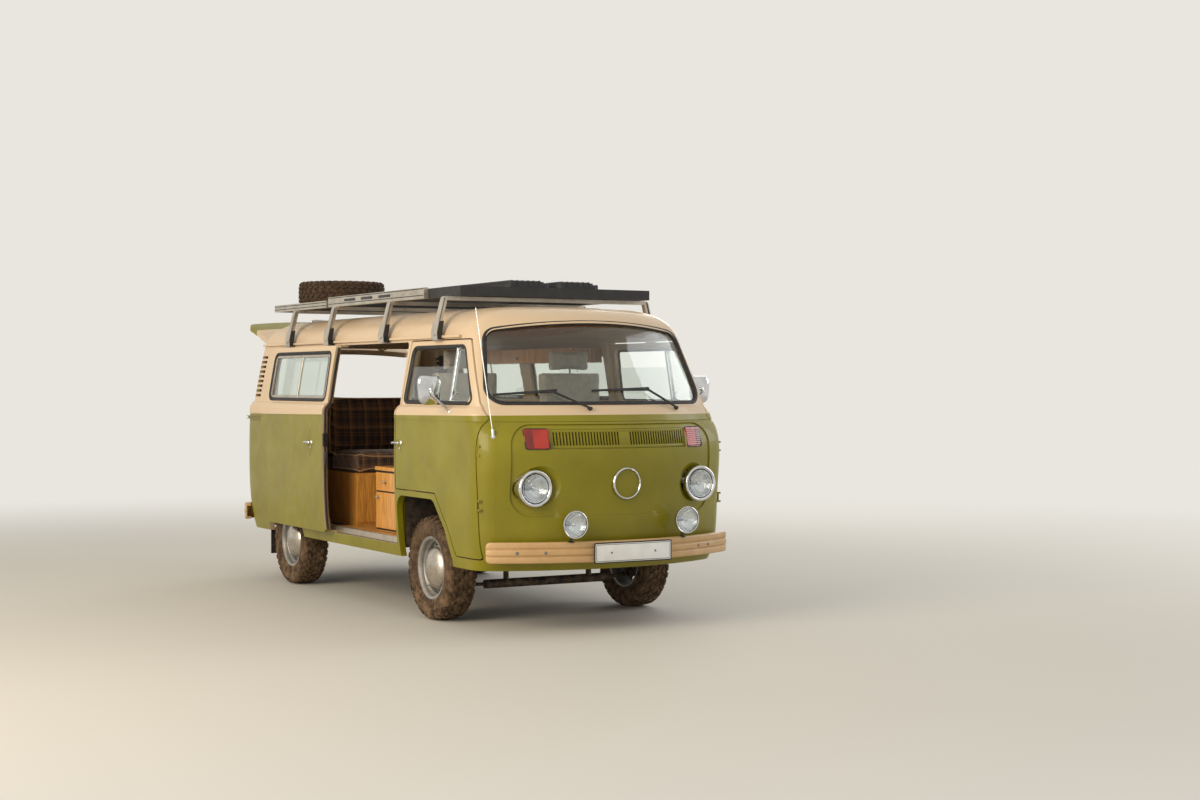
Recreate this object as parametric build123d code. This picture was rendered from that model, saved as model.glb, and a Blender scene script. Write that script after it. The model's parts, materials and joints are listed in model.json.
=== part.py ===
from build123d import *
import math
import os
from collections import namedtuple

# Camper van with a rear engine, a sliding side door and a roof rack.
# Millimetres. X points forward, Y to the van's left, Z up, ground at zero.
# While it is built, X is zero half way between the axles. At the end every
# piece is moved so that the origin is under the middle of the whole van.

# Running gear
WHEELBASE = 2400.0
FRONT_AXLE_X = WHEELBASE / 2
REAR_AXLE_X = -WHEELBASE / 2
FRONT_TRACK = 1395.0
REAR_TRACK = 1425.0
TYRE_RADIUS = 325.0
TYRE_WIDTH = 190.0
RIM_RADIUS = 178.0
FLANGE_HEIGHT = 18.0
FLANGE_THICK = 10.0
RIM_WIDTH = 152.0
DRUM_RADIUS = 124.0
HUB_CAP_RADIUS = 104.0
HUB_CAP_RISE = 34.0
SPINDLE_RADIUS = 15.5
SPINDLE_FIT = 0.5
KINGPIN_INSET = 65.0
STEER_REST = 0.0
AXLE_TUBE_X = 1300.0
AXLE_TUBE_RADIUS = 28.0
JOINT_RISE = 111.0

# Body heights
SILL_Z = 372.0
FLOOR_TOP = 480.0
FLOOR_THICK = 40.0
BELT_Z = 1250.0
GLASS_LINE_Z = 1340.0
GUTTER_Z = 1755.0
ROOF_TOP_Z = 1952.0

# Body thicknesses and fits
WALL = 40.0
ROOF_WALL = 34.0
GLASS_SET_BACK = 12.0
GLASS_THICK = 6.0
SEAT_FIT = 0.3
DOOR_GAP = 8.0
TAILGATE_GAP = 10.0

# One row is one level outline of the body: its height, the front of its
# bow on the centre line, the bow's radius, half the width, the radius of
# the front corners, then the same three things for the tail.
Section = namedtuple(
    "Section", "z front bow half_width corner tail tail_bow tail_corner"
)
LOWER_BODY = [
    Section(SILL_Z, 2185, 1560, 824, 170, -2050, 6000, 200),
    Section(560, 2262, 1530, 848, 175, -2105, 6000, 205),
    Section(900, 2288, 1500, 860, 180, -2125, 6000, 210),
    Section(1185, 2268, 1490, 859, 180, -2118, 6000, 210),
    Section(BELT_Z, 2210, 1480, 857, 178, -2112, 6000, 208),
]
BELT_BAND = [
    Section(BELT_Z, 2214, 1480, 861, 178, -2116, 6000, 208),
    Section(1295, 2182, 1490, 858, 165, -2114, 6000, 206),
    Section(1325, 2156, 1495, 838, 140, -2108, 6000, 200),
    Section(GLASS_LINE_Z, 2140, 1500, 818, 115, -2102, 6000, 194),
]
WINDOW_ZONE = [
    Section(GLASS_LINE_Z, 2140, 1500, 818, 115, -2102, 6000, 194),
    Section(1550, 2043, 1400, 785, 118, -2078, 6000, 192),
    Section(GUTTER_Z, 1945, 1300, 748, 122, -2045, 6000, 190),
]
ROOF = [
    WINDOW_ZONE[-1],
    Section(1842, 1896, 1240, 704, 136, -2012, 6000, 190),
    Section(1900, 1822, 1190, 628, 160, -1948, 6000, 190),
    Section(1936, 1700, 1130, 520, 190, -1830, 6000, 200),
    Section(ROOF_TOP_Z, 1500, 1050, 380, 200, -1640, 6000, 220),
]
GUTTER_ROW = ROOF[0]

# Front doors: rear edge, front edge, and the seam round the wheel arch
DOOR_REAR_X = 850.0
DOOR_FRONT_X = 1990.0
DOOR_BOTTOM_Z = 440.0
DOOR_TOP_Z = 1742.0
DOOR_BELT_FRONT_X = 1910.0
DOOR_TOP_FRONT_X = 1705.0
ARCH_LIP = 38.0

# Front wheel arch
ARCH_REAR_X = FRONT_AXLE_X - 338.0
ARCH_TOP_Z = 765.0
ARCH_TOP_FRONT_X = FRONT_AXLE_X + 205.0
ARCH_MID_FRONT_X = FRONT_AXLE_X + 360.0
ARCH_MID_Z = 590.0
ARCH_FOOT_X = FRONT_AXLE_X + 445.0
ARCH_CORNER = 85.0
# Rear wheel arch
REAR_ARCH_RADIUS = 372.0
REAR_ARCH_TOP_Z = 672.0

# Load door opening in the right side, and how far the door has slid
SIDE_DOOR_FRONT_X = 832.0
SIDE_DOOR_REAR_X = -412.0
SIDE_DOOR_BOTTOM_Z = 446.0
SIDE_DOOR_TOP_Z = 1738.0
SIDE_DOOR_CORNER = 30.0
SIDE_DOOR_SWEEP = 120.0
SIDE_DOOR_SLIDE = 1062.0
SIDE_DOOR_OUT = 70.0
SIDE_DOOR_RAIL_Z = 1215.0
SIDE_DOOR_RAIL_DEPTH = 18.0
SIDE_DOOR_RAIL_HEIGHT = 24.0

# Panels meet here
NOSE_SPLIT_X = 1300.0
REAR_SPLIT_X = -1990.0

# Tailgate and engine lid
TAILGATE_BOTTOM_Z = 1056.0
TAILGATE_TOP_Z = GUTTER_Z - 12
TAILGATE_HALF_BOTTOM = 596.0
TAILGATE_HALF_TOP = 556.0
TAILGATE_OPEN = 104.0
LID_BOTTOM_Z = 600.0
LID_TOP_Z = 955.0
LID_HALF_WIDTH = 430.0

# Hinges of the doors, tailgate and lid
PIN_RADIUS = 3.0
PIN_FIT = 0.3
KNUCKLE_RADIUS = 6.0
KNUCKLE_LENGTH = 40.0
LUG_LENGTH = 12.0
PIN_POCKET = 3.0
DOOR_HINGE_Y = 846.0
DOOR_HINGE_ZS = (760.0, 1080.0)
TAIL_HINGE_X = -2052.0
TAIL_HINGE_Z = TAILGATE_TOP_Z
TAIL_HINGE_YS = (-300.0, 300.0)
LID_HINGE_X = -2132.0
LID_HINGE_Z = LID_TOP_Z + DOOR_GAP / 2
LID_HINGE_YS = (-260.0, 260.0)

# Glass
WINDOW_BOTTOM_Z = 1356.0
WINDOW_TOP_Z = 1700.0
WINDOW_CORNER = 46.0
SCREEN_HALF_BOTTOM = 752.0
SCREEN_HALF_TOP = 668.0
SCREEN_BOTTOM_Z = 1352.0
SCREEN_SHOULDER_Z = 1790.0
SCREEN_TOP_Z = 1842.0
SCREEN_CORNER = 85.0
VENT_BAR_X = 1545.0
VENT_BAR_WIDTH = 16.0
LOWERED_TO_Z = 1578.0

# Nose: headlamps, fresh-air grille, turn lamps and the plain ring
HEADLAMP_Y = 572.0
HEADLAMP_Z = 862.0
HEADLAMP_RADIUS = 103.0
HEADLAMP_FRONT_X = 2216.0
LENS_RADIUS = 85.0
BOWL_RADIUS = 172.0
RECESS_HALF_WIDTH = 692.0
RECESS_Z = (692.0, 1234.0)
RECESS_CORNER = 130.0
RECESS_DEPTH = 9.0
GRILLE_HALF_WIDTH = 472.0
GRILLE_Z = (1090.0, 1206.0)
GRILLE_FACE = 4.0
GRILLE_FLOOR = 18.0
SLOT_COUNT = 22
SLOT_WIDTH = 8.5
SLOT_PITCH = 17.0
SLOT_HEIGHT = 66.0
SLOT_FIRST_Y = 52.0
TURN_LAMP_WIDTH = 138.0
TURN_LAMP_FACE = -12.0
TURN_LAMP_FLOOR = 16.0
RING_RADIUS = 96.0
RING_Z = 882.0
RING_BACK_X = 2270.0
TAIL_LAMP_Y = (640.0, 745.0)
TAIL_LAMP_Z = (850.0, 1090.0)
TAIL_LAMP_FACE = -14.0
TAIL_LAMP_FLOOR = 6.0

# Vent slots behind the rear side windows
VENT_COUNT = 9
VENT_PITCH = 36.0
VENT_HEIGHT = 20.0
VENT_LENGTH = 150.0
VENT_FIRST_Z = 1372.0
VENT_FRONT_X = -1792.0
VENT_LEAN = 0.12

# Bumpers: each rib is (bottom, top, how far it stands out)
BUMPER_BOTTOM_Z = 432.0
BUMPER_THICK = 16.0
BUMPER_RIBS = [(0, 32, 0), (32, 39, -6), (39, 77, 3), (77, 84, -6), (84, 116, 0)]
BUMPER_ROW = Section(BUMPER_BOTTOM_Z, 2352, 1540, 864, 120, -2152, 6000, 110)
BUMPER_END_X = 2125.0
REAR_BUMPER_END_X = -1985.0
SPOT_Y = 385.0
SPOT_Z = 655.0
SPOT_RADIUS = 80.0
SPOT_FRONT_X = 2352.0
SPOT_STALK_X = 2293.0

# Floor, seat box and luggage deck
WELL_INNER_Y = 430.0
PLINTH_TOP_Z = 795.0
PLINTH_FRONT_X = 1585.0
FOOT_FLOOR_Z = 530.0
DECK_Z = 940.0
BULKHEAD_X = -880.0
SHEET = 22.0
RAIL_Y = 365.0
RAIL_WIDTH = 60.0
SEAT_FRAME = 45.0

# Roof rack and what is carried on it
GUTTER_OUT = 18.0
GUTTER_FRONT_X = 1590.0
GUTTER_REAR_X = -1900.0
RACK_LEG_XS = (1298.0, 470.0, -500.0, -1260.0)
RACK_BAR_Z = ROOF_TOP_Z + 38.0
RACK_BAR_HEIGHT = 24.0
RACK_HALF_WIDTH = 712.0
RACK_RAIL_WIDTH = 30.0
RACK_BEAM = 45.0
RACK_BOLT_RADIUS = 4.5
RACK_BOLT_XS = (640.0, 760.0)
SLAT_WIDTH = 60.0
SLAT_PITCH = 150.0
# One row is one part of the rack: its ends, rail height and platform height
RackPart = namedtuple("RackPart", "rear front rail_front rail_height deck_height")
RACK_PARTS = [
    RackPart(-1755.0, -700.0, -700.0, 50.0, 32.0),
    RackPart(-660.0, 1433.0, 965.0, 70.0, 62.0),
]
SPARE_X = -1420.0
SPARE_Y = -300.0
BOARD_X = (260.0, 1400.0)
BOARD_YS = (-340.0, 20.0)
BOARD_WIDTH = 320.0
BOARD_THICK = 22.0

# Cab
STEERING_WHEEL_AT = Vector(1740, 370, 1210)
STEERING_AXIS = Vector(-0.5, 0, math.sqrt(0.75))
STEERING_WHEEL_RADIUS = 195.0
STEERING_GRIP_RADIUS = 13.0
SHAFT_RADIUS = 14.0
COLUMN_RADIUS = 22.0
COLUMN_LENGTH = 800.0
SEAT_Y = 385.0
SEAT_WIDTH = 470.0
MIRROR_X = 1600.0
MIRROR_Y = 965.0
MIRROR_Z = 1425.0

# One row is one wiper, as (y, z) places on the windscreen's face
Wiper = namedtuple("Wiper", "pivot arm_end blade_in blade_out")
WIPERS = [
    Wiper((-176.0, 1322.0), (-374.0, 1415.0), (-345.0, 1428.0), (-700.0, 1402.0)),
    Wiper((470.0, 1322.0), (270.0, 1425.0), (285.0, 1440.0), (-127.0, 1425.0)),
]
WIPER_PIVOT_RADIUS = 9.0
AERIAL_Z = 1165.0
AERIAL_TIP = (1885.0, -800.0, 1921.0)
MUD_FLAP_X = REAR_AXLE_X - 406.0

FAR = 3000.0


def block(x0, x1, y0, y1, z0, z1):
    centre = ((x0 + x1) / 2, (y0 + y1) / 2, (z0 + z1) / 2)
    return Pos(*centre) * Box(abs(x1 - x0), abs(y1 - y0), abs(z1 - z0))


def rod(start, end, radius):
    start, end = Vector(*start), Vector(*end)
    span = end - start
    return Solid.make_cylinder(radius, span.length, Plane(start, z_dir=span))


def rounded_face(points, radius):
    face = make_face(Polyline(*points, close=True))
    return fillet(face.vertices(), radius) if radius else face


def side_prism(points, y0, y1, radius=0.0):
    """Prism along Y from an outline of (x, z) points."""
    low, high = min(y0, y1), max(y0, y1)
    plane = Plane(origin=(0, high, 0), x_dir=(1, 0, 0), z_dir=(0, -1, 0))
    return extrude(plane * rounded_face(points, radius), amount=high - low)


def front_prism(points, x0, x1, radius=0.0):
    """Prism along X from an outline of (y, z) points."""
    plane = Plane(origin=(x0, 0, 0), x_dir=(0, 1, 0), z_dir=(1, 0, 0))
    return extrude(plane * rounded_face(points, radius), amount=x1 - x0)


def plan_prism(points, z0, z1, radius=0.0):
    """Prism along Z from an outline of (x, y) points."""
    return extrude(Pos(0, 0, z0) * rounded_face(points, radius), amount=z1 - z0)


def turned(points, place, direction):
    """Solid of revolution from (radius, along) points about a direction."""
    profile = make_face(Polyline(*[(r, 0, h) for r, h in points], close=True))
    return Plane(origin=place, z_dir=direction) * revolve(profile, Axis.Z)


def mirrored(shape):
    return mirror(shape, about=Plane.XZ)


def side_range(side, near=400.0, far=1000.0):
    """The stretch of Y that holds one side's wall: -1 is right, 1 is left."""
    return sorted((side * near, side * far))


SIDES = ((-1, "right"), (1, "left"))


# Form of the body

def half_outline(front, bow, half_width, corner):
    """Points of one end: on the bow, half way round the corner, on the side."""
    bow_centre = front - bow
    corner_y = half_width - corner
    corner_x = bow_centre + math.sqrt((bow - corner) ** 2 - corner_y**2)
    turn = math.atan2(corner_y, corner_x - bow_centre)
    middle = (turn + math.pi / 2) / 2
    on_bow = (bow_centre + bow * math.cos(turn), bow * math.sin(turn))
    on_corner = (
        corner_x + corner * math.cos(middle),
        corner_y + corner * math.sin(middle),
    )
    return on_bow, on_corner, (corner_x, half_width)


def outline(row, inset=0.0, z=None):
    """Level face of the body, set in by the same amount all round."""
    height = row.z if z is None else z
    front, tail = row.front - inset, row.tail + inset
    width = row.half_width - inset
    nose = half_outline(front, row.bow - inset, width, max(row.corner - inset, 12))
    rear = half_outline(
        -tail, row.tail_bow - inset, width, max(row.tail_corner - inset, 12)
    )

    def at(point, x_sign, y_sign):
        return (x_sign * point[0], y_sign * point[1], height)

    edges = [
        ThreePointArc(at(nose[0], 1, -1), (front, 0, height), at(nose[0], 1, 1)),
        ThreePointArc(at(nose[0], 1, 1), at(nose[1], 1, 1), at(nose[2], 1, 1)),
        Line(at(nose[2], 1, 1), at(rear[2], -1, 1)),
        ThreePointArc(at(rear[2], -1, 1), at(rear[1], -1, 1), at(rear[0], -1, 1)),
        ThreePointArc(at(rear[0], -1, 1), (tail, 0, height), at(rear[0], -1, -1)),
        ThreePointArc(at(rear[0], -1, -1), at(rear[1], -1, -1), at(rear[2], -1, -1)),
        Line(at(rear[2], -1, -1), at(nose[2], 1, -1)),
        ThreePointArc(at(nose[2], 1, -1), at(nose[1], 1, -1), at(nose[0], 1, -1)),
    ]
    return Face(Wire([edge.edge() for edge in edges]))


def row_at(z):
    """The body's outline at any height, straight between the rows."""
    rows = LOWER_BODY + BELT_BAND[1:] + WINDOW_ZONE[1:] + ROOF[1:]
    for low, high in zip(rows, rows[1:]):
        if z <= high.z:
            share = (z - low.z) / (high.z - low.z)
            return Section(*[a + share * (b - a) for a, b in zip(low, high)])
    return rows[-1]


def side_y(z):
    return row_at(z).half_width


def nose_x(y, z):
    row = row_at(z)
    return row.front - row.bow + math.sqrt(row.bow**2 - y**2)


def level_fill(z0, z1, narrow_z, inset):
    """Upright fill of the body's plan between two heights."""
    return extrude(outline(row_at(narrow_z), inset, z0), amount=z1 - z0)


def lower_form(inset):
    return loft([outline(row, inset) for row in LOWER_BODY])


def upper_form(inset, roof_inset):
    windows = loft([outline(row, inset) for row in WINDOW_ZONE])
    roof_faces = []
    for row in ROOF:
        share = (row.z - GUTTER_Z) / (ROOF_TOP_Z - GUTTER_Z)
        roof_faces.append(outline(row, inset, row.z - roof_inset * min(1.0, 2.0 * share)))
    return windows + loft(roof_faces)


def hull(inset=0.0, roof_inset=0.0):
    """The body as one closed form, set in from its skin."""
    band = loft([outline(row, inset) for row in BELT_BAND], ruled=True)
    return lower_form(inset) + band + upper_form(inset, roof_inset)


def skin_reach(direction, y_range, z_range):
    """How far the skin reaches along X over a small patch, ahead or astern."""
    reach = []
    for y in y_range:
        for z in z_range:
            crossings = shell.find_intersection_points(Axis((0, y, z), (direction, 0, 0)))
            reach += [point.X * direction for point, _ in crossings]
    return max(reach) * direction


# Outlines that panels, doors and glass share

def front_door_outline(grow):
    """Seam of the front door, bigger or smaller by the same amount."""
    seam_z = ARCH_TOP_Z + ARCH_LIP
    return [
        (DOOR_REAR_X - grow, seam_z - grow),
        (ARCH_TOP_FRONT_X + 30 - grow * 0.5, seam_z - grow),
        (ARCH_MID_FRONT_X + 42 - grow, ARCH_MID_Z + 15 - grow * 0.5),
        (ARCH_FOOT_X + 45 - grow, DOOR_BOTTOM_Z - grow),
        (DOOR_FRONT_X + grow, DOOR_BOTTOM_Z - grow),
        (DOOR_FRONT_X + grow, BELT_Z + 20),
        (DOOR_BELT_FRONT_X + grow, GLASS_LINE_Z + 12),
        (DOOR_TOP_FRONT_X + grow, DOOR_TOP_Z + grow),
        (DOOR_REAR_X + 25 - grow, DOOR_TOP_Z + grow),
        (DOOR_REAR_X - grow, GLASS_LINE_Z),
    ]


FRONT_WINDOW = [
    (DOOR_REAR_X + 40, WINDOW_BOTTOM_Z),
    (DOOR_BELT_FRONT_X - 55, WINDOW_BOTTOM_Z),
    (DOOR_TOP_FRONT_X - 45, WINDOW_TOP_Z),
    (DOOR_REAR_X + 65, WINDOW_TOP_Z),
]
MIDDLE_WINDOW = [
    (SIDE_DOOR_REAR_X + 70, WINDOW_BOTTOM_Z),
    (SIDE_DOOR_FRONT_X - 60, WINDOW_BOTTOM_Z),
    (SIDE_DOOR_FRONT_X - 70, WINDOW_TOP_Z - 14),
    (SIDE_DOOR_REAR_X + 80, WINDOW_TOP_Z - 14),
]
QUARTER_WINDOW = [
    (-1560.0, WINDOW_BOTTOM_Z),
    (SIDE_DOOR_REAR_X - 70, WINDOW_BOTTOM_Z),
    (SIDE_DOOR_REAR_X - 80, WINDOW_TOP_Z - 14),
    (-1530.0, WINDOW_TOP_Z - 14),
]
TAIL_WINDOW = [(-470, 1345), (470, 1345), (450, 1672), (-450, 1672)]


def drawn_in(points, amount):
    """A four-cornered outline with each side moved in by an amount."""
    mid_x = sum(p[0] for p in points) / len(points)
    mid_z = sum(p[1] for p in points) / len(points)
    return [
        (x + math.copysign(amount, mid_x - x), z + math.copysign(amount, mid_z - z))
        for x, z in points
    ]


def screen_prism(shrink):
    """The windscreen's outline seen from the front, as a prism along X."""
    low, high = SCREEN_BOTTOM_Z + shrink, SCREEN_SHOULDER_Z - shrink
    bottom, top = SCREEN_HALF_BOTTOM - shrink, SCREEN_HALF_TOP - shrink
    sides = Polyline((-top, high), (-bottom, low), (bottom, low), (top, high))
    crown = ThreePointArc((top, high), (0, SCREEN_TOP_Z - shrink), (-top, high))
    face = make_face([sides, crown])
    face = fillet(face.vertices(), SCREEN_CORNER - shrink)
    plane = Plane(origin=(NOSE_SPLIT_X, 0, 0), x_dir=(0, 1, 0), z_dir=(1, 0, 0))
    return extrude(plane * face, amount=FAR)


def front_arch(side):
    low = SILL_Z - 60
    points = [
        (ARCH_REAR_X, low), (ARCH_FOOT_X + 25, low), (ARCH_MID_FRONT_X, ARCH_MID_Z),
        (ARCH_TOP_FRONT_X, ARCH_TOP_Z), (ARCH_REAR_X, ARCH_TOP_Z),
    ]
    return side_prism(points, *side_range(side, 300), ARCH_CORNER)


def rear_arch(side):
    low, wide, top = SILL_Z - 60, REAR_ARCH_RADIUS, REAR_ARCH_TOP_Z
    half = [(wide, low), (wide * 0.86, top - 152), (wide * 0.5, top)]
    points = [(REAR_AXLE_X + x, z) for x, z in half]
    points += [(REAR_AXLE_X - x, z) for x, z in reversed(half)]
    return side_prism(points, *side_range(side, 560), 60)


def side_door_prism(grow):
    """Outline of the side door, with a bigger radius at its rear lower corner."""
    rear, front = SIDE_DOOR_REAR_X - grow, SIDE_DOOR_FRONT_X + grow
    low, high = SIDE_DOOR_BOTTOM_Z - grow, SIDE_DOOR_TOP_Z + grow
    sweep = SIDE_DOOR_SWEEP + grow
    corner = SIDE_DOOR_CORNER + grow
    whole = side_prism(
        [(rear, low), (front, low), (front, high), (rear, high)],
        *side_range(-1), corner,
    )
    rounded = side_prism(
        [(rear, low), (front + FAR, low), (front + FAR, FAR), (rear, FAR)],
        *side_range(-1), sweep,
    )
    return whole & rounded


def tailgate_prism(grow):
    low, high = TAILGATE_BOTTOM_Z - grow, TAILGATE_TOP_Z + grow
    bottom, top = TAILGATE_HALF_BOTTOM + grow, TAILGATE_HALF_TOP + grow
    points = [(-bottom, low), (bottom, low), (top, high), (-top, high)]
    return front_prism(points, -FAR, -1500, 58 + grow / 2)


def lid_prism(grow):
    half = LID_HALF_WIDTH + grow
    low, high = LID_BOTTOM_Z - grow, LID_TOP_Z + grow
    points = [(-half, low), (half, low), (half, high), (-half, high)]
    return front_prism(points, -FAR, -1500, 38 + grow / 2)


# Pieces let into the skin

def headlamp_at(side):
    return (HEADLAMP_FRONT_X, side * HEADLAMP_Y, HEADLAMP_Z)


def headlamp_bowl(side):
    hole = HEADLAMP_RADIUS + SEAT_FIT
    profile = [
        (0, -200), (hole, -200), (hole, -62), (BOWL_RADIUS, 14), (BOWL_RADIUS, 120),
        (0, 120),
    ]
    return turned(profile, headlamp_at(side), (1, 0, 0))


def headlamp_bezel(side):
    inner, outer = LENS_RADIUS + SEAT_FIT, HEADLAMP_RADIUS
    profile = [
        (inner, -88), (outer, -88), (outer, -16), (outer - 4, -4), (outer - 8, 0),
        (outer - 11, -2), (inner, -20),
    ]
    return turned(profile, headlamp_at(side), (1, 0, 0))


def headlamp_lens(side):
    profile = [
        (0, -86), (60, -82), (LENS_RADIUS, -44), (LENS_RADIUS, -22), (70, -13),
        (40, -6), (0, -3),
    ]
    return turned(profile, headlamp_at(side), (1, 0, 0))


def let_in(y_range, z_range, face, floor, x_range):
    """A pocket in the skin, and the piece that fills it.

    The piece's face and the pocket's floor are given as insets from the skin.
    """
    y0, y1 = sorted(y_range)
    z0, z1 = z_range

    def skin_strip(inset):
        rows = [row_at(z0 - 5), row_at(z1 + 5)]
        return loft([outline(row, inset) for row in rows], ruled=True)

    pocket = block(*x_range, y0, y1, z0, z1) - skin_strip(floor)
    fit = SEAT_FIT
    piece = block(*x_range, y0 + fit, y1 - fit, z0 + fit, z1 - fit)
    return pocket, (piece & skin_strip(face)) - skin_strip(floor - fit)


parts = {}


def put(name, shapes):
    """Adds the solids of one shape or several to a named piece."""
    if not isinstance(shapes, (list, tuple)):
        shapes = [shapes]
    for shape in shapes:
        parts.setdefault(name, []).extend(shape.solids())


def hinge(axis, place, leaf_end, lug_end):
    """One hinge: the moving knuckle with its leaf, and the fixed lugs and pin.

    The leaf and the lugs are blocks that reach from the pin's line to their
    end, which is an offset square to the axis.
    """
    direction, centre = Vector(*axis), Vector(*place)
    half = KNUCKLE_LENGTH / 2

    def barrel(low, high, radius):
        start, end = centre + direction * low, centre + direction * high
        return rod(tuple(start), tuple(end), radius)

    def plate(low, high, end):
        corners = [centre + direction * low, centre + direction * high + Vector(*end)]
        spans = [sorted((getattr(corners[0], n), getattr(corners[1], n))) for n in "XYZ"]
        return block(*spans[0], *spans[1], *spans[2])

    bore = barrel(-half - 1, half + 1, PIN_RADIUS + PIN_FIT)
    moving = (barrel(-half, half, KNUCKLE_RADIUS) + plate(-half, half, leaf_end)) - bore
    near, far = half + PIN_FIT, half + PIN_FIT + LUG_LENGTH
    fixed = barrel(-far, far, PIN_RADIUS)
    for low, high in ((-far, -near), (near, far)):
        fixed += [barrel(low, high, KNUCKLE_RADIUS), plate(low, high, lug_end)]
    return moving, fixed


# Body panels

shell = hull() - [
    hull(WALL, ROOF_WALL),
    extrude(outline(LOWER_BODY[0], WALL), amount=-60),
]
glass_layer = upper_form(GLASS_SET_BACK, GLASS_SET_BACK) - upper_form(
    GLASS_SET_BACK + GLASS_THICK, GLASS_SET_BACK + GLASS_THICK
)

NOSE_SPAN = (1900.0, FAR)
TAIL_SPAN = (-FAR, REAR_SPLIT_X + 40)
recess = front_prism(
    [(-RECESS_HALF_WIDTH, RECESS_Z[0]), (RECESS_HALF_WIDTH, RECESS_Z[0]),
     (RECESS_HALF_WIDTH, RECESS_Z[1]), (-RECESS_HALF_WIDTH, RECESS_Z[1])],
    *NOSE_SPAN, RECESS_CORNER,
)
grille_pocket, grille = let_in(
    (-GRILLE_HALF_WIDTH, GRILLE_HALF_WIDTH), GRILLE_Z, GRILLE_FACE, GRILLE_FLOOR,
    NOSE_SPAN,
)
slot_z = sum(GRILLE_Z) / 2
slots = [
    block(*NOSE_SPAN, y - SLOT_WIDTH / 2, y + SLOT_WIDTH / 2,
          slot_z - SLOT_HEIGHT / 2, slot_z + SLOT_HEIGHT / 2)
    for group in (-1, 1)
    for y in [
        group * (SLOT_FIRST_Y + SLOT_PITCH * (index + 0.5))
        for index in range(SLOT_COUNT)
    ]
]
put("air_grille", grille - slots)
intakes = [
    block(*NOSE_SPAN, group * (SLOT_FIRST_Y - 6),
          group * (SLOT_FIRST_Y + SLOT_PITCH * SLOT_COUNT + 6),
          slot_z - SLOT_HEIGHT / 2 - 4, slot_z + SLOT_HEIGHT / 2 + 4)
    for group in (-1, 1)
]

cuts = [recess - lower_form(RECESS_DEPTH), grille_pocket] + intakes
for side, _ in SIDES:
    lamp_y = side * (GRILLE_HALF_WIDTH + 3), side * (GRILLE_HALF_WIDTH + TURN_LAMP_WIDTH)
    pocket, lamp = let_in(lamp_y, GRILLE_Z, TURN_LAMP_FACE, TURN_LAMP_FLOOR, NOSE_SPAN)
    cuts.append(pocket)
    put("turn_lamps", lamp)
    lamp_y = side * TAIL_LAMP_Y[0], side * TAIL_LAMP_Y[1]
    pocket, lamp = let_in(
        lamp_y, TAIL_LAMP_Z, TAIL_LAMP_FACE, TAIL_LAMP_FLOOR, TAIL_SPAN
    )
    cuts.append(pocket)
    put("tail_lamps", lamp)
    put("headlamp_bezels", headlamp_bezel(side))
    put("headlamp_lenses", headlamp_lens(side))
    cuts.append(headlamp_bowl(side))
cuts.append(rod((RING_BACK_X, 0, RING_Z), (FAR, 0, RING_Z), RING_RADIUS + SEAT_FIT))
put("nose_ring", turned(
    [(0, SEAT_FIT), (RING_RADIUS, SEAT_FIT), (RING_RADIUS, 22), (88, 26), (80, 21),
     (64, 14), (0, 17)],
    (RING_BACK_X, 0, RING_Z), (1, 0, 0),
))

door_forms = {}
for side, name in SIDES:
    y_range = side_range(side)
    door_forms[name] = side_prism(front_door_outline(-DOOR_GAP / 2), *y_range, 18)
    cuts.append(side_prism(front_door_outline(DOOR_GAP / 2), *y_range, 22))
    cuts.append(side_prism(QUARTER_WINDOW, *y_range, WINDOW_CORNER))
    cuts += [front_arch(side), rear_arch(side)]
    for z in DOOR_HINGE_ZS:
        half = KNUCKLE_LENGTH / 2 + PIN_FIT
        pin = (DOOR_FRONT_X, side * DOOR_HINGE_Y)
        cuts.append(rod((*pin, z - half), (*pin, z + half), KNUCKLE_RADIUS + PIN_POCKET))
    for index in range(VENT_COUNT):
        z = VENT_FIRST_Z + VENT_PITCH * index
        x = VENT_FRONT_X + VENT_LEAN * (z - VENT_FIRST_Z)
        cuts.append(block(x - VENT_LENGTH, x, *side_range(side, 560), z, z + VENT_HEIGHT))
cuts.append(side_prism(MIDDLE_WINDOW, *side_range(1), WINDOW_CORNER))
cuts += [side_door_prism(0), screen_prism(0)]
cuts += [tailgate_prism(TAILGATE_GAP / 2), lid_prism(DOOR_GAP / 2)]
framed = shell - cuts

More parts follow.
